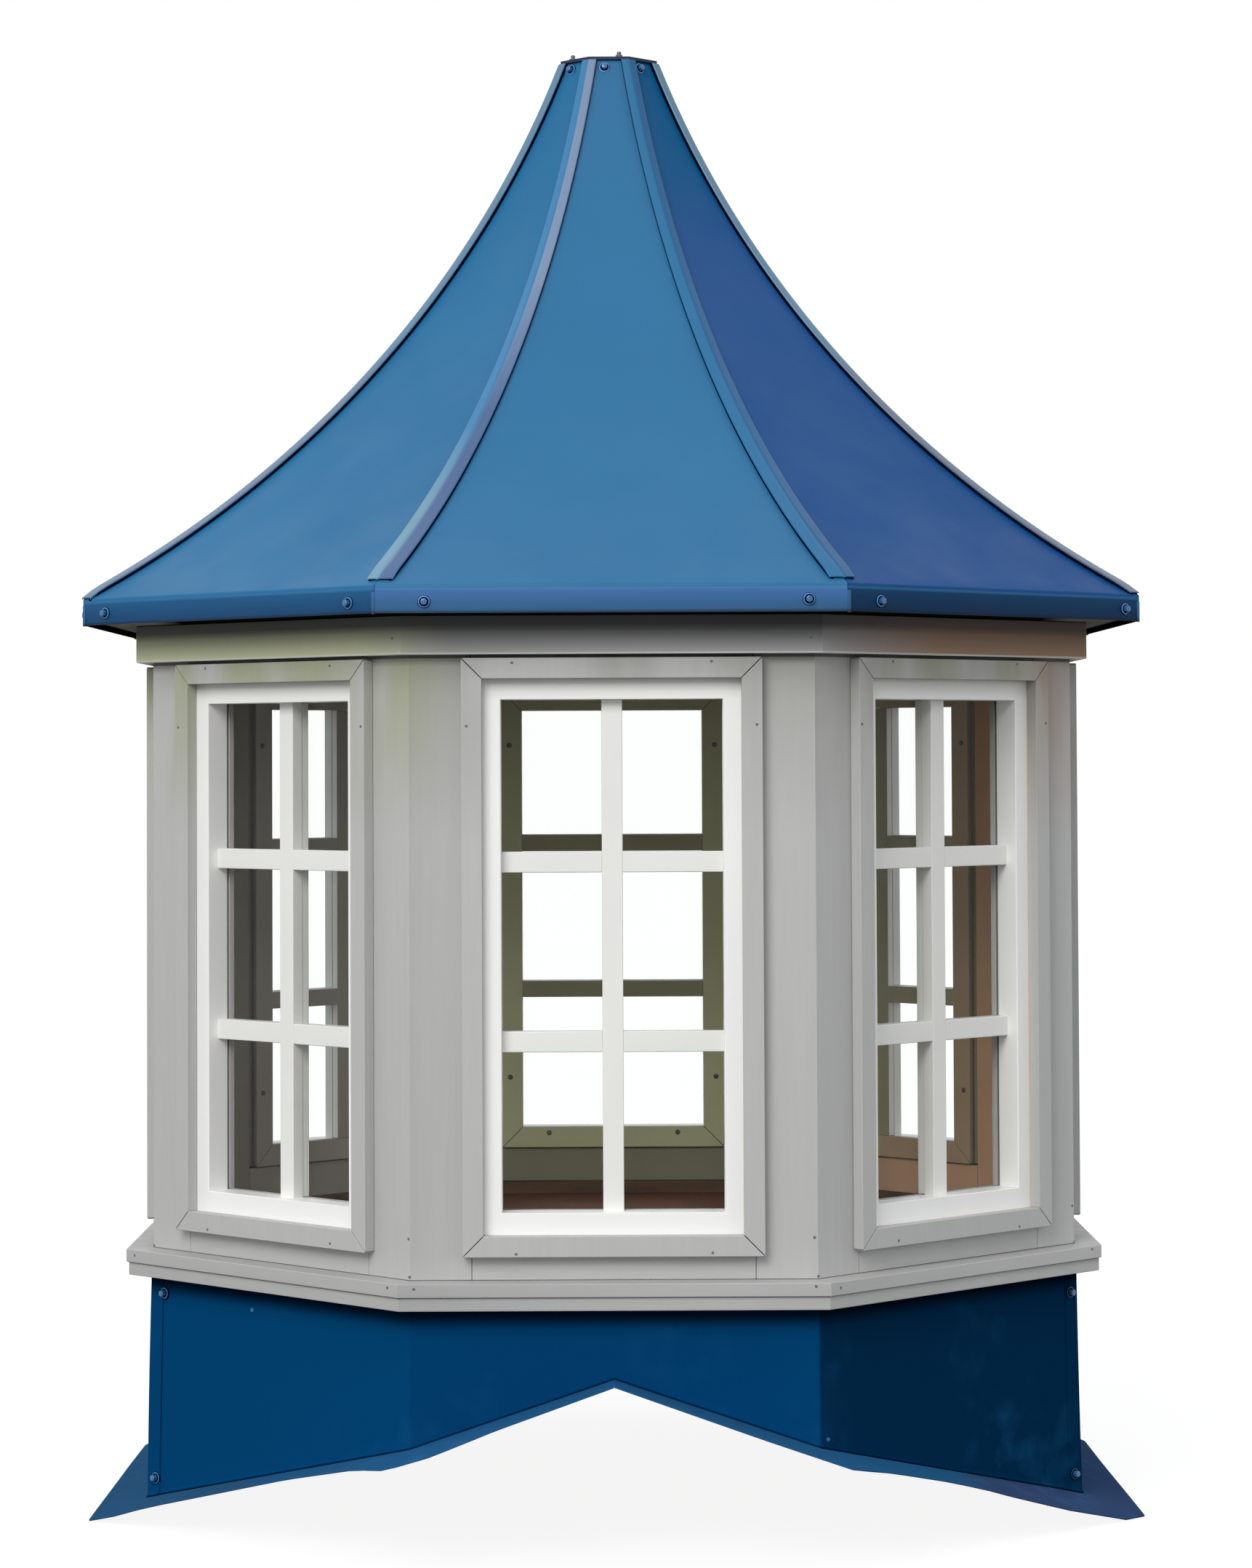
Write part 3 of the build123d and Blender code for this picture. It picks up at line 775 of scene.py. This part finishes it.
def roof_panel():
    """Outer and inner section as one loop, carried from hip to hip: x = share × (distance × tangent)."""
    across = np.linspace(-1, 1, PANEL_COLUMNS)[:, None]
    outer = np.array(roof_line(0))
    inner = np.array(roof_line(-PANEL_SHEET))
    along = np.linspace(0, PAST_BULGE, outer.shape[1])
    bulge = panel_bulge(across, along[None, :])
    slope = np.gradient(outer, axis=1)
    normal = np.stack([-slope[1], slope[0]]) / np.hypot(*slope)
    sheets = []
    for line in (outer, inner):
        distance = line[0] + bulge * normal[0]
        height = line[1] + bulge * normal[1]
        x = across * (line[0] * TAN - PANEL_GAP)
        sheets.append(np.stack([x, -distance, height], -1))
    return thin_sheet(*sheets)


# Painted light: panels on the right take the shaded copy of the coat, those on the left the lit copy, and
# the front and back the front copy.
PAINTED_SIDE_LIGHT = {"right": coats["shaded_roof"], "left": coats["lit_roof"]}
for face, name in enumerate(FACE_NAMES):
    finish = PAINTED_SIDE_LIGHT.get(name.split("_")[-1], coats["front_roof"])
    piece(f"roof_panel_{name}", turned(roof_panel(), face), finish, [f"roof_{name}"],
          bent=30)

# %% [markdown]
# Over each hip lies a folded cap. Its two wings follow the panels beside the hip, a few
# millimetres above them, and a narrow lip turns down at each edge. Below the lip lies a dark
# strip of painted shade, which darkens the gap under the lip. The wings take lit and shaded
# copies of the cap coat, so light and shade are painted on them as well. The foot is pressed
# flat and cut along the eave. A point is given by its distance along the hip, its distance
# aside and its lift, and the roof line gives the height.

# %% Hip caps
CAP_RISE = 6.6 * MM
CAP_SHEET = 1 * MM
CAP_LIP = 1.9 * MM
CAP_FOOT_HALF, CAP_TOP_HALF = 17.5 * MM, 10.5 * MM
CAP_FOOT_GAPS = (8, 8, 0, 4, 4, 4, 4, -1.5)
CROWN_SHARE, CROWN_DROP = 0.3, 1.6 * MM
FLAT_FOOT, FLAT_FROM = 0.45, 0.96
HIP_STEPS = 60
SHADE_STRIP_BACK, SHADE_STRIP_WIDTH = 1.4 * MM, 4 * MM
# Painted light and shade: these wings take lit, shaded or highlight copies of the cap coat.
PAINTED_LIGHT_WINGS = {(0, -1): coats["lit_cap"], (0, 1): coats["highlight_cap"],
               (1, -1): coats["front_roof"], (1, 1): coats["shaded_cap"]}


def over_hip(side, share, inset, lift, drop, foot_gap):
    """Points along the hip to the left of the front, from the head to the foot: so far aside
    of the hip, and so far above the panel."""
    cos, sin = math.cos(HALF), math.sin(HALF)
    steps = np.linspace(0, 1, HIP_STEPS)
    aside = share * (CAP_TOP_HALF + (CAP_FOOT_HALF - CAP_TOP_HALF) * steps) - inset
    pressed = 1 - FLAT_FOOT * np.clip((steps - FLAT_FROM) / (1 - FLAT_FROM), 0, 1) ** 2
    head = (roof_line(lift - drop)[0][0] - aside * sin) / cos
    foot = (EAVE - foot_gap - aside * sin) / cos
    run = head + (foot - head) * steps
    z = roof_height(run * cos + aside * sin, lift * pressed - drop)
    return np.stack([side * aside * cos - run * sin, -run * cos - side * aside * sin, z], -1)


def cap_wing(side, foot_gap):
    """One wing, from the crown to the lip: outer and inner profile as one loop along the hip."""
    share = np.concatenate([np.linspace(0, CROWN_SHARE, 6), [0.4, 0.6, 0.8, 0.93, 0.975, 1, 1]])
    lift = CAP_RISE - CROWN_DROP * np.clip(1 - share / CROWN_SHARE, 0, 1) ** 2
    lift[-3:] -= np.array([0.2 * MM, 0.6 * MM, CAP_LIP])
    loops = []
    for sheet in (0, CAP_SHEET):
        columns = [over_hip(side, s, s * sheet, rise, sheet, foot_gap) for s, rise in zip(share, lift)]
        loops.append(np.stack(columns, 1))
    return thin_sheet(*loops)


def cap_shade_strip(side, foot_gap):
    """Dark strip under the edge of a wing: painted shade in the gap under the lip."""
    near, far, high = SHADE_STRIP_BACK, SHADE_STRIP_BACK + SHADE_STRIP_WIDTH, CAP_RISE - CAP_SHEET
    corners = (near, 0), (near, high), (far, high), (far, 0)
    return surface(np.stack([over_hip(side, 1, *corner, 0, foot_gap + 1 * MM) for corner in corners], 1))


wings, shade_strips = {}, []
for hip, gap in enumerate(CAP_FOOT_GAPS):
    for side in (-1, 1):
        finish = PAINTED_LIGHT_WINGS.get((hip % 4, side), coats["bright_cap"])
        wings.setdefault(finish, []).append(turned(cap_wing(side, gap * MM), hip))
        shade_strips.append(turned(cap_shade_strip(side, gap * MM), hip))
for finish, shapes in wings.items():
    stands_for = ["hip_caps"] if finish == coats["bright_cap"] else []
    piece(f"hip_cap_wings_{finish.name}", joined(shapes), finish, stands_for, bent=35)
# Painted shade: dark strips under the lips of the caps.
piece("hip_cap_shade_strips", joined(shade_strips), coats["rubber_and_shade_strip"], bent=35)

# %% [markdown]
# The skirt is sheet metal round the wooden base. Its outline in plan is the octagon with
# small bends at the corners, and it leans out a little towards its foot, so the outline
# simply grows with the depth below the ledge. Its foot is cut to the gable roof: where the
# outline is x to the side of the ridge, the roof has fallen by a third of x.

# %% Skirt
PITCH = 1 / 3
FLARE = math.tan(math.radians(1.05))
SKIRT_SHEET = 1.2 * MM
SKIRT_LIP, LIP_FROM = 2 * MM, 0.975
SKIRT_SWELL = 0.8 * MM
SEAT = 0.3 * MM
SKIRT_TOP = extent("skirt_front")[1][2]
FLANGE_EDGE = extent("flashing_right")[1][0]
FLASHING_RISE = 1.6 * MM * math.hypot(1, PITCH)
RIDGE = FLANGE_EDGE * PITCH


def skirt_shade(pot, base):
    """Painted shade close under the ledge, where no light comes, and a painted shadow along the seam at the
    foot.
    """
    z = pot.along("Z")
    over_roof = pot.math("MULTIPLY_ADD", pot.math("ABSOLUTE", pot.along("X")), PITCH, z)
    # Painted shadow along the foot, and painted shade close under the ledge.
    base = pot.tinted(base, over_roof, RIDGE + 5 * MM, RIDGE + 3.5 * MM, "#000C28", 0.7)
    return pot.tinted(base, z, SKIRT_TOP - 26 * MM, SKIRT_TOP - 8 * MM, "#04080C", 0.8)


# Painted light and shade by side: the left-hand skirt a little lighter, the right-hand skirt darker.
skirt_finish = coated_metal("navy_skirt_coat", "#003E6C", "#004272", DULL, 0.0, 0.35, "#1A5480",
                            sides=("#024474", "#022E50", 0.252, 0.004), shade=skirt_shade)


def unit(vector):
    """A vector divided by its length."""
    return vector / np.linalg.norm(vector)


def plan_path(corners, soft, steps=5, run_steps=14):
    """A path through plan corners with each corner softened by a quadratic curve of reach soft."""
    corners = np.array(corners, dtype=float)
    points = [corners[:1]]
    for before, here, after in zip(corners[:-2], corners[1:-1], corners[2:]):
        into, out = here + unit(before - here) * soft, here + unit(after - here) * soft
        run = np.linspace(0, 1, run_steps)[1:-1, None]
        share = np.linspace(0, 1, steps)[:, None]
        points.append(points[-1][-1:] * (1 - run) + into * run)
        points.append(into * (1 - share) ** 2 + 2 * here * share * (1 - share) + out * share ** 2)
    run = np.linspace(0, 1, run_steps)[1:, None]
    points.append(points[-1][-1:] * (1 - run) + corners[-1:] * run)
    return np.concatenate(points)


def plan_corner(number):
    """Corner of an octagon of apothem 1, counted from the right end of the front."""
    angle = -math.pi / 2 + HALF + number * EIGHTH
    return math.cos(angle) / math.cos(HALF), math.sin(angle) / math.cos(HALF)


def skirt_sheet(path, apothem):
    """Point = path × (apothem + flare × depth), down to where the roof's plane cuts it."""
    x, y = path[:, :1], path[:, 1:]
    fall = PITCH * np.abs(x)
    foot = (RIDGE + FLASHING_RISE + SEAT - fall * (apothem + SKIRT_TOP * FLARE)) / (1 - fall * FLARE)
    down = np.concatenate([np.linspace(0, LIP_FROM, 12), [0.982, 0.99, 1.0]])[None, :]
    lip = SKIRT_LIP * np.clip((down - LIP_FROM) / (1 - LIP_FROM), 0, 1) ** 2
    sheets = []
    for inset in (0, SKIRT_SHEET):
        z = SKIRT_TOP + (foot - SKIRT_TOP) * down
        wave = SKIRT_SWELL * np.sin(np.pi * down) * np.sin(9 * x + 4 * y) * np.sin(7 * y + 2)
        grow = apothem - inset + (SKIRT_TOP - z) * FLARE + wave + lip
        sheets.append(np.stack([x * grow, y * grow, z], -1))
    return thin_sheet(*sheets)


SKIRT_SOFT = 0.006
SKIRT_LAP = 24 * MM / WALL
END_OUT = WALL + SEAT + SKIRT_SHEET
SIDE_OUT = WALL + 2 * SEAT + 2 * SKIRT_SHEET
end_path = plan_path([plan_corner(number) for number in (-2, -1, 0, 1)], SKIRT_SOFT)
side_corners = np.array([plan_corner(number) for number in (0, 1, 2, 3)])
for end, bend in ((0, 1), (3, 2)):
    side_corners[end] = side_corners[bend] + unit(side_corners[end] - side_corners[bend]) * SKIRT_LAP
side_path = plan_path(side_corners, SKIRT_SOFT)
for name, path, apothem, face in (("front", end_path, END_OUT, 0), ("back", end_path, END_OUT, 4),
                                  ("right", side_path, SIDE_OUT, 0), ("left", side_path, SIDE_OUT, 4)):
    piece(f"skirt_sheet_{name}", turned(skirt_sheet(path, apothem), face), skirt_finish,
          [f"skirt_{name}"], bent=30)

# %% [markdown]
# The flashing is a flat sheet on each plane of the roof, cut round the base. Its outer edge
# was cut by hand: it wanders in and out, and near some corners it is bent down a little. The
# cut is given by its inset from the planned line at bearings round the base, and is straight
# between them.

# %% Flashing
FLASHING_INNER = WALL - 38 * MM
CUT = {-157: -3, -150: 18, -129: 36, -118: 24, -111: -6, -103: -3, -90: 21, -75: -3, -67: -7,
       -61: 9, -52: 12, -43: -4, -25: -8, 5: 0, 50: 12, 90: 16, 130: 14, 170: 2}
BENT_DOWN = {-157: 2, -152: 0, -114: 0, -108: 4.5, -102: 0, -47: 0, -34: 6.5, -25: 6, -20: 0}
BENT_FROM = 6 / 11
FLASHING_SOFT = 0.004
# Painted reflection by side: the tips far to the left a greyer blue, those far to the right a violet grey.
flashing_finish = coated_metal("flashing_coat", "#225A88", "#265A84", DULL, 0.0, 0.4, "#3E6694",
                               sides=("#2C567C", "#344A70", 0.43, 0.05))


def flashing(side):
    """Plan path round one side, from the ridge in front to the ridge behind, at many apothems."""
    stops = [(0, -1), plan_corner(0), plan_corner(1), plan_corner(2), plan_corner(3), (0, 1)]
    path = plan_path(stops, FLASHING_SOFT, run_steps=16)
    x, y = path[:, :1], path[:, 1:]
    bearing = np.arctan2(y, x)
    if side < 0:
        bearing = np.where(bearing > 0, math.pi - bearing, -math.pi - bearing)
    bearing = np.degrees(bearing)
    inset = np.interp(bearing, list(CUT), list(CUT.values()), period=360) * MM
    bent = np.interp(bearing, list(BENT_DOWN), list(BENT_DOWN.values())) * MM
    out = np.linspace(0, 1, 8)[None, :]
    bent = bent * np.clip((out - BENT_FROM) / (1 - BENT_FROM), 0, 1)
    apothem = FLASHING_INNER + (FLANGE_EDGE - inset - FLASHING_INNER) * out
    sheets = []
    for rise in (FLASHING_RISE, 0):
        z = RIDGE - PITCH * np.abs(x) * apothem + rise - bent
        z = np.maximum(z, 0.2 * MM + rise)
        sheets.append(np.stack([side * np.maximum(x * apothem, 0.02 * MM), y * apothem, z], -1))
    return thin_sheet(*sheets)


for side, name in ((1, "right"), (-1, "left")):
    piece(f"flashing_sheet_{name}", flashing(side), flashing_finish, [f"flashing_{name}"],
          bent=30)

# %% [markdown]
# A roofing screw is a hexagon on a round washer, with a rubber seal under it and a dark
# groove between them. Each part is a profile turned about the screw's axis, and for the head
# each ring of points is a hexagon. The screws stand square to the sheet that they hold.

# %% Screws


def turned_profile(radii, heights, sides, corners=0.0):
    """Profile in millimetres turned about Z: the radius at an angle is drawn in to a hexagon by corners."""
    angle = np.linspace(0, 2 * math.pi, sides, endpoint=False)[None, :]
    wedge = (angle + math.pi / 6) % (math.pi / 3) - math.pi / 6
    shape = 1 + corners * (math.cos(math.pi / 6) / np.cos(wedge) - 1)
    radius = np.array(radii)[:, None] * MM * shape
    z = np.array(heights)[:, None] * MM + 0 * angle
    return surface(np.stack([radius * np.cos(angle), radius * np.sin(angle), z], -1))


rubber = joined([turned_profile([8.1, 8.1, 7.4, 0.1], [-0.4, 0.3, 0.6, 0.6], 24),
                 turned_profile([5.9, 5.9, 0.1], [1.4, 2.0, 2.0], 24)])
washer = turned_profile([7.2, 7.5, 7.3, 6.4, 0.1], [0.4, 0.9, 1.5, 1.8, 1.8], 24)
hexagon = turned_profile([4.6, 4.6, 4.1, 2.8, 0.1], [1.8, 6.4, 7.2, 7.5, 7.5], 24, 1.0)


def aimed(shape, place, outwards, spin=0.0):
    """A shape made about +Z, stood at a place with its axis along outwards and spun about it."""
    outwards = unit(np.array(outwards, dtype=float))
    level = np.cross((0, 0, 1), outwards)
    level = unit(level) if np.linalg.norm(level) > 1e-6 else np.array((1.0, 0, 0))
    upright = np.cross(outwards, level)
    side = level * math.cos(spin) + upright * math.sin(spin)
    other = np.cross(outwards, side)
    points, faces = shape
    return points @ np.array([side, other, outwards]) + np.array(place), faces


def on_side(face, shape, along, depth, z, tilt=0.0):
    """A shape stood on the side of that number: so far along it, out at a depth, at a height."""
    return turned(aimed(shape, (along, -depth, z), (0, -1, tilt), 1000 * along), face)


def screw_pieces(name, places, washers=coats["washer"]):
    """Screws at places given for on_side, as three pieces: rubber, washers and heads."""
    for part, shape, finish in (("rubber", rubber, coats["rubber_and_shade_strip"]), ("washers", washer, washers),
                                ("heads", hexagon, coats["screw_head"])):
        shapes = [on_side(face, shape, *place) for face, *place in places]
        piece(f"{name}_{part}", joined(shapes), finish)


# %% [markdown]
# Each folded eave is held by two screws, and each panel's head by one. The sides that the
# photograph shows have them where they are there, and the others vary round the same places.

# %% Screws of the roof
FRONT, FRONT_RIGHT, FRONT_LEFT = 0, 1, 7
EAVE_SCREWS = {FRONT: (-228.7, 241.9), FRONT_LEFT: (-241.1, 241.2), FRONT_RIGHT: (-229.2, 257.8)}
EAVE_SCREW_UP = 14.6 * MM
HEAD_SCREW_DOWN = 10 * MM
HEAD_SCREW_ASIDE = -7 * MM
roof_screws = []
for face in range(SIDES):
    usual = random.uniform(-250, -230), random.uniform(230, 250)
    for along in EAVE_SCREWS.get(face, usual):
        z = EAVE_FOOT + EAVE_SCREW_UP + random.uniform(-1, 1) * MM
        roof_screws.append((face, along * MM, EAVE, z))
    head_z = ROOF_HEAD - HEAD_SCREW_DOWN - random.uniform(0, 1) * MM
    head_place = float(np.interp(-head_z, -height, distance))
    aside = HEAD_SCREW_ASIDE + random.uniform(-1, 1) * MM
    roof_screws.append((face, aside, head_place, head_z, 0.25))
screw_pieces("roof_screw", roof_screws)

# %% [markdown]
# Four bolts hold the plate, and their cut ends stand up through it, each with a nut. Where a
# slanting side meets a main one, the main side's fold laps round the corner as a narrow tab.

# %% Bolt ends and corner tabs
BOLT_CIRCLE = 55 * MM
BOLT_TURNS = (-75, -155, 105, 25)
BOLT_HEIGHTS = (8.5, 9, 9, 8)
PLATE_TOP = extent("top_plate")[1][2]


def bolt_end(tall):
    """Threaded end with a nut: the nut is a turned hexagon, and the end a narrow cylinder."""
    nut = turned_profile([5.6, 5.6, 5, 0.1], [-0.4, 3.4, 4, 4], 24, 1.0)
    rod = turned_profile([3, 3, 2.4, 0.1], [0, tall - 0.8, tall, tall], 12)
    return joined([nut, rod])


bolts = []
for turn, tall in zip(BOLT_TURNS, BOLT_HEIGHTS):
    angle = math.radians(turn)
    place = (BOLT_CIRCLE * math.cos(angle), BOLT_CIRCLE * math.sin(angle), PLATE_TOP)
    bolts.append(aimed(bolt_end(tall), place, (0, 0, 1), random.uniform(0, 1)))
piece("plate_bolt_ends", joined(bolts), coats["bolt_steel"])

TAB_WIDTH, TAB_SHEET = 5 * MM, 0.9 * MM
tabs = []
for face in range(0, SIDES, 2):
    for side in (-1, 1):
        corner = EAVE * TAN
        near, far = sorted((-side * corner, -side * (corner - TAB_WIDTH)))
        block = core(near, far, EAVE - 1 * MM, EAVE + TAB_SHEET, EAVE_FOOT - 1.2 * MM,
                     EAVE_FOLD - 5 * MM, 0.4 * MM)
        tabs.append(turned(eased(block[None], 0.4 * MM), (face + side) % SIDES))
piece("eave_corner_tabs", joined(tabs), coats["front_roof"])

# %% [markdown]
# The side sheets of the skirt lap over the end sheets, and a screw at the top and one at the
# foot hold each lap. Two blind rivets show as well.

# %% Screws and rivets of the skirt
LAP_SCREWS = {(FRONT_LEFT, -1): ((225, 296), (238, 53)), (FRONT_RIGHT, 1): ((238, 291), (239, 53)),
              (3, -1): ((236, 292), (243, 55)), (5, 1): ((232, 289), (241, 52))}
RIVETS = ((FRONT_LEFT, -48, 290), (FRONT_RIGHT, -241, 155))


def skirt_apothem(z, top):
    """Outside of a sheet of the skirt at a height: that at the top, and it grows with the depth."""
    return top + (SKIRT_TOP - z) * FLARE


rivet = turned_profile([3, 2.8, 2, 0.1], [-0.3, 0.6, 1.2, 1.3], 16)
skirt_screws = [(face, side * along * MM, skirt_apothem(z * MM, SIDE_OUT), z * MM)
                for (face, side), places in LAP_SCREWS.items() for along, z in places]
screw_pieces("skirt_screw", skirt_screws, coats["side_shaded_washer"])
rivets = [on_side(face, rivet, along * MM, skirt_apothem(z * MM, END_OUT), z * MM)
          for face, along, z in RIVETS]
piece("skirt_rivets", joined(rivets), coats["side_shaded_washer"])

# %% [markdown]
# The boards are nailed with small round heads that were left unfilled. The screws of the
# inner frames have wider, flat heads.

# %% Nails and inner frame screws
nail_finish = timber("nail_head", "#6E6E6A", "#5E5E5A", ALONG_X, 0.5)
nail = turned_profile([1.9, 1.8, 1.2, 0.1], [-0.3, 0.25, 0.4, 0.3], 12)
pan_head = turned_profile([4, 3.8, 2.6, 0.1], [-0.3, 0.8, 1.6, 1.7], 16)
CASING_FACE = -CASING_LOW[1]
LEDGE_FACE = extent("ledge_upper")[1][0]
FRIEZE_FACE = extent("frieze")[1][0]
CASING_NAILS = ((181, 1040), (122, 1117.7), (120, 388.7))
EDGE_NAILS = ((-248, 347.5, LEDGE_FACE), (248, 347.5, LEDGE_FACE), (246, 1146, FRIEZE_FACE),
              (248.5, 403.5, WALL), (-252.5, 356.5, WALL))
INNER_SCREWS = ((157, 1018.5), (157, 512.3), (98, 427.7))
spots = [(along, z, CASING_FACE) for half, z in CASING_NAILS for along in (-half, half)]
nails = [on_side(face, nail, (along + random.uniform(-2, 2)) * MM, depth, (z + random.uniform(-2, 2)) * MM)
         for face in range(SIDES) for along, z, depth in (*spots, *EDGE_NAILS)]
piece("board_nails", joined(nails), nail_finish)
inner_screws = [aimed(pan_head, (along * MM, -INNER_FACE, z * MM), (0, 1, 0))
                for half, z in INNER_SCREWS for along in (-half, half)]
piece("inner_frame_screws", around(joined(inner_screws)), nail_finish)

# %% [markdown]
# What stays as the construction has it: timber that hardly shows, the glass, and the plate
# on top.

# %% Pieces that only need a finish
for node_name, finish in (("base_frame", frame_finish), ("sole_plate", sole_finish),
                          ("floor_deck", floor_finish), ("roof_ribs", rib_finish),
                          ("apex_block", frame_finish), ("ceiling_deck", deck_finish),
                          ("glass_panes", glass_finish), ("top_plate", coats["dark_plate"])):
    dress(node_name, finish)

# %% [markdown]
# The stage is a floor under a white world. What the camera sees directly, in a mirror or
# through glass is plain white. What lights the object is a softer even sky, one large lamp
# in front and a little to the left, and a weak one to the right. The floor sends little
# light back up, as a dark roof would, so the undersides stay dark.

# %% Stage and light
SKY = 0.8
KEY_PLACE, KEY_SIZE, KEY_POWER = (-2.3, -5.6, 4.5), 3.4, 280
FILL_PLACE, FILL_SIZE, FILL_POWER = (4.5, -3.5, 1.6), 3.0, 19
FLOOR_HALF, FLOOR_GLOW, FLOOR_ALBEDO = 40.0, 0.9, 0.14
WHITE = (1, 1, 1, 1)
SEEN = ("Camera", "Glossy", "Transmission")
studio = Pot(bpy.data.worlds.new("white_studio"))
lighting = studio.tree.nodes["Background"]
studio.feed(lighting, {"Color": (0.96, 0.98, 1.0, 1), "Strength": SKY})
backdrop = studio.add("Background", {"Color": WHITE, "Strength": 1.0})
both = studio.add("MixShader", {0: ray_is(studio, *SEEN), 1: lighting.outputs[0], 2: backdrop})
studio.feed(studio.tree.nodes["World Output"], {"Surface": both})
bpy.context.scene.world = studio.owner

floor_pot = new_pot("pale_floor")
floor_mesh = bpy.data.meshes.new("floor")
corners = [(x * FLOOR_HALF, y * FLOOR_HALF, -0.5 * MM) for x, y in ((-1, -1), (1, -1), (1, 1), (-1, 1))]
floor_mesh.from_pydata(corners, [], [(0, 1, 2, 3)])
floor_mesh.materials.append(floor_pot.coat((FLOOR_ALBEDO, FLOOR_ALBEDO, FLOOR_ALBEDO, 1), 1.0, 0.0))
strength = floor_pot.math("MULTIPLY", ray_is(floor_pot, *SEEN), FLOOR_GLOW)
glow = floor_pot.add("Emission", {"Color": WHITE, "Strength": strength})
matt = floor_pot.tree.nodes["Principled BSDF"].outputs[0]
lit = floor_pot.add("AddShader", {0: matt, 1: glow})
floor_pot.feed(floor_pot.tree.nodes["Material Output"], {"Surface": lit})
floor = bpy.data.objects.new("floor", floor_mesh)
bpy.context.scene.collection.objects.link(floor)


def lamp(name, place, size, power, colour):
    """A square lamp aimed at the middle of the cupola."""
    data = bpy.data.lights.new(name, "AREA")
    data.size = size
    data.energy = power
    data.color = colour
    made = bpy.data.objects.new(name, data)
    aim = Vector((0, 0, 1)) - Vector(place)
    made.matrix_world = Matrix.Translation(place) @ aim.to_track_quat("-Z", "Y").to_matrix().to_4x4()
    bpy.context.scene.collection.objects.link(made)


lamp("key", KEY_PLACE, KEY_SIZE, KEY_POWER, (1.0, 0.99, 0.97))
lamp("fill", FILL_PLACE, FILL_SIZE, FILL_POWER, (0.97, 0.98, 1.0))
bpy.context.scene.view_settings.view_transform = "Standard"

# %% [markdown]
# Last, the scene is brought up to date.

# %% Finish
bpy.context.view_layer.update()
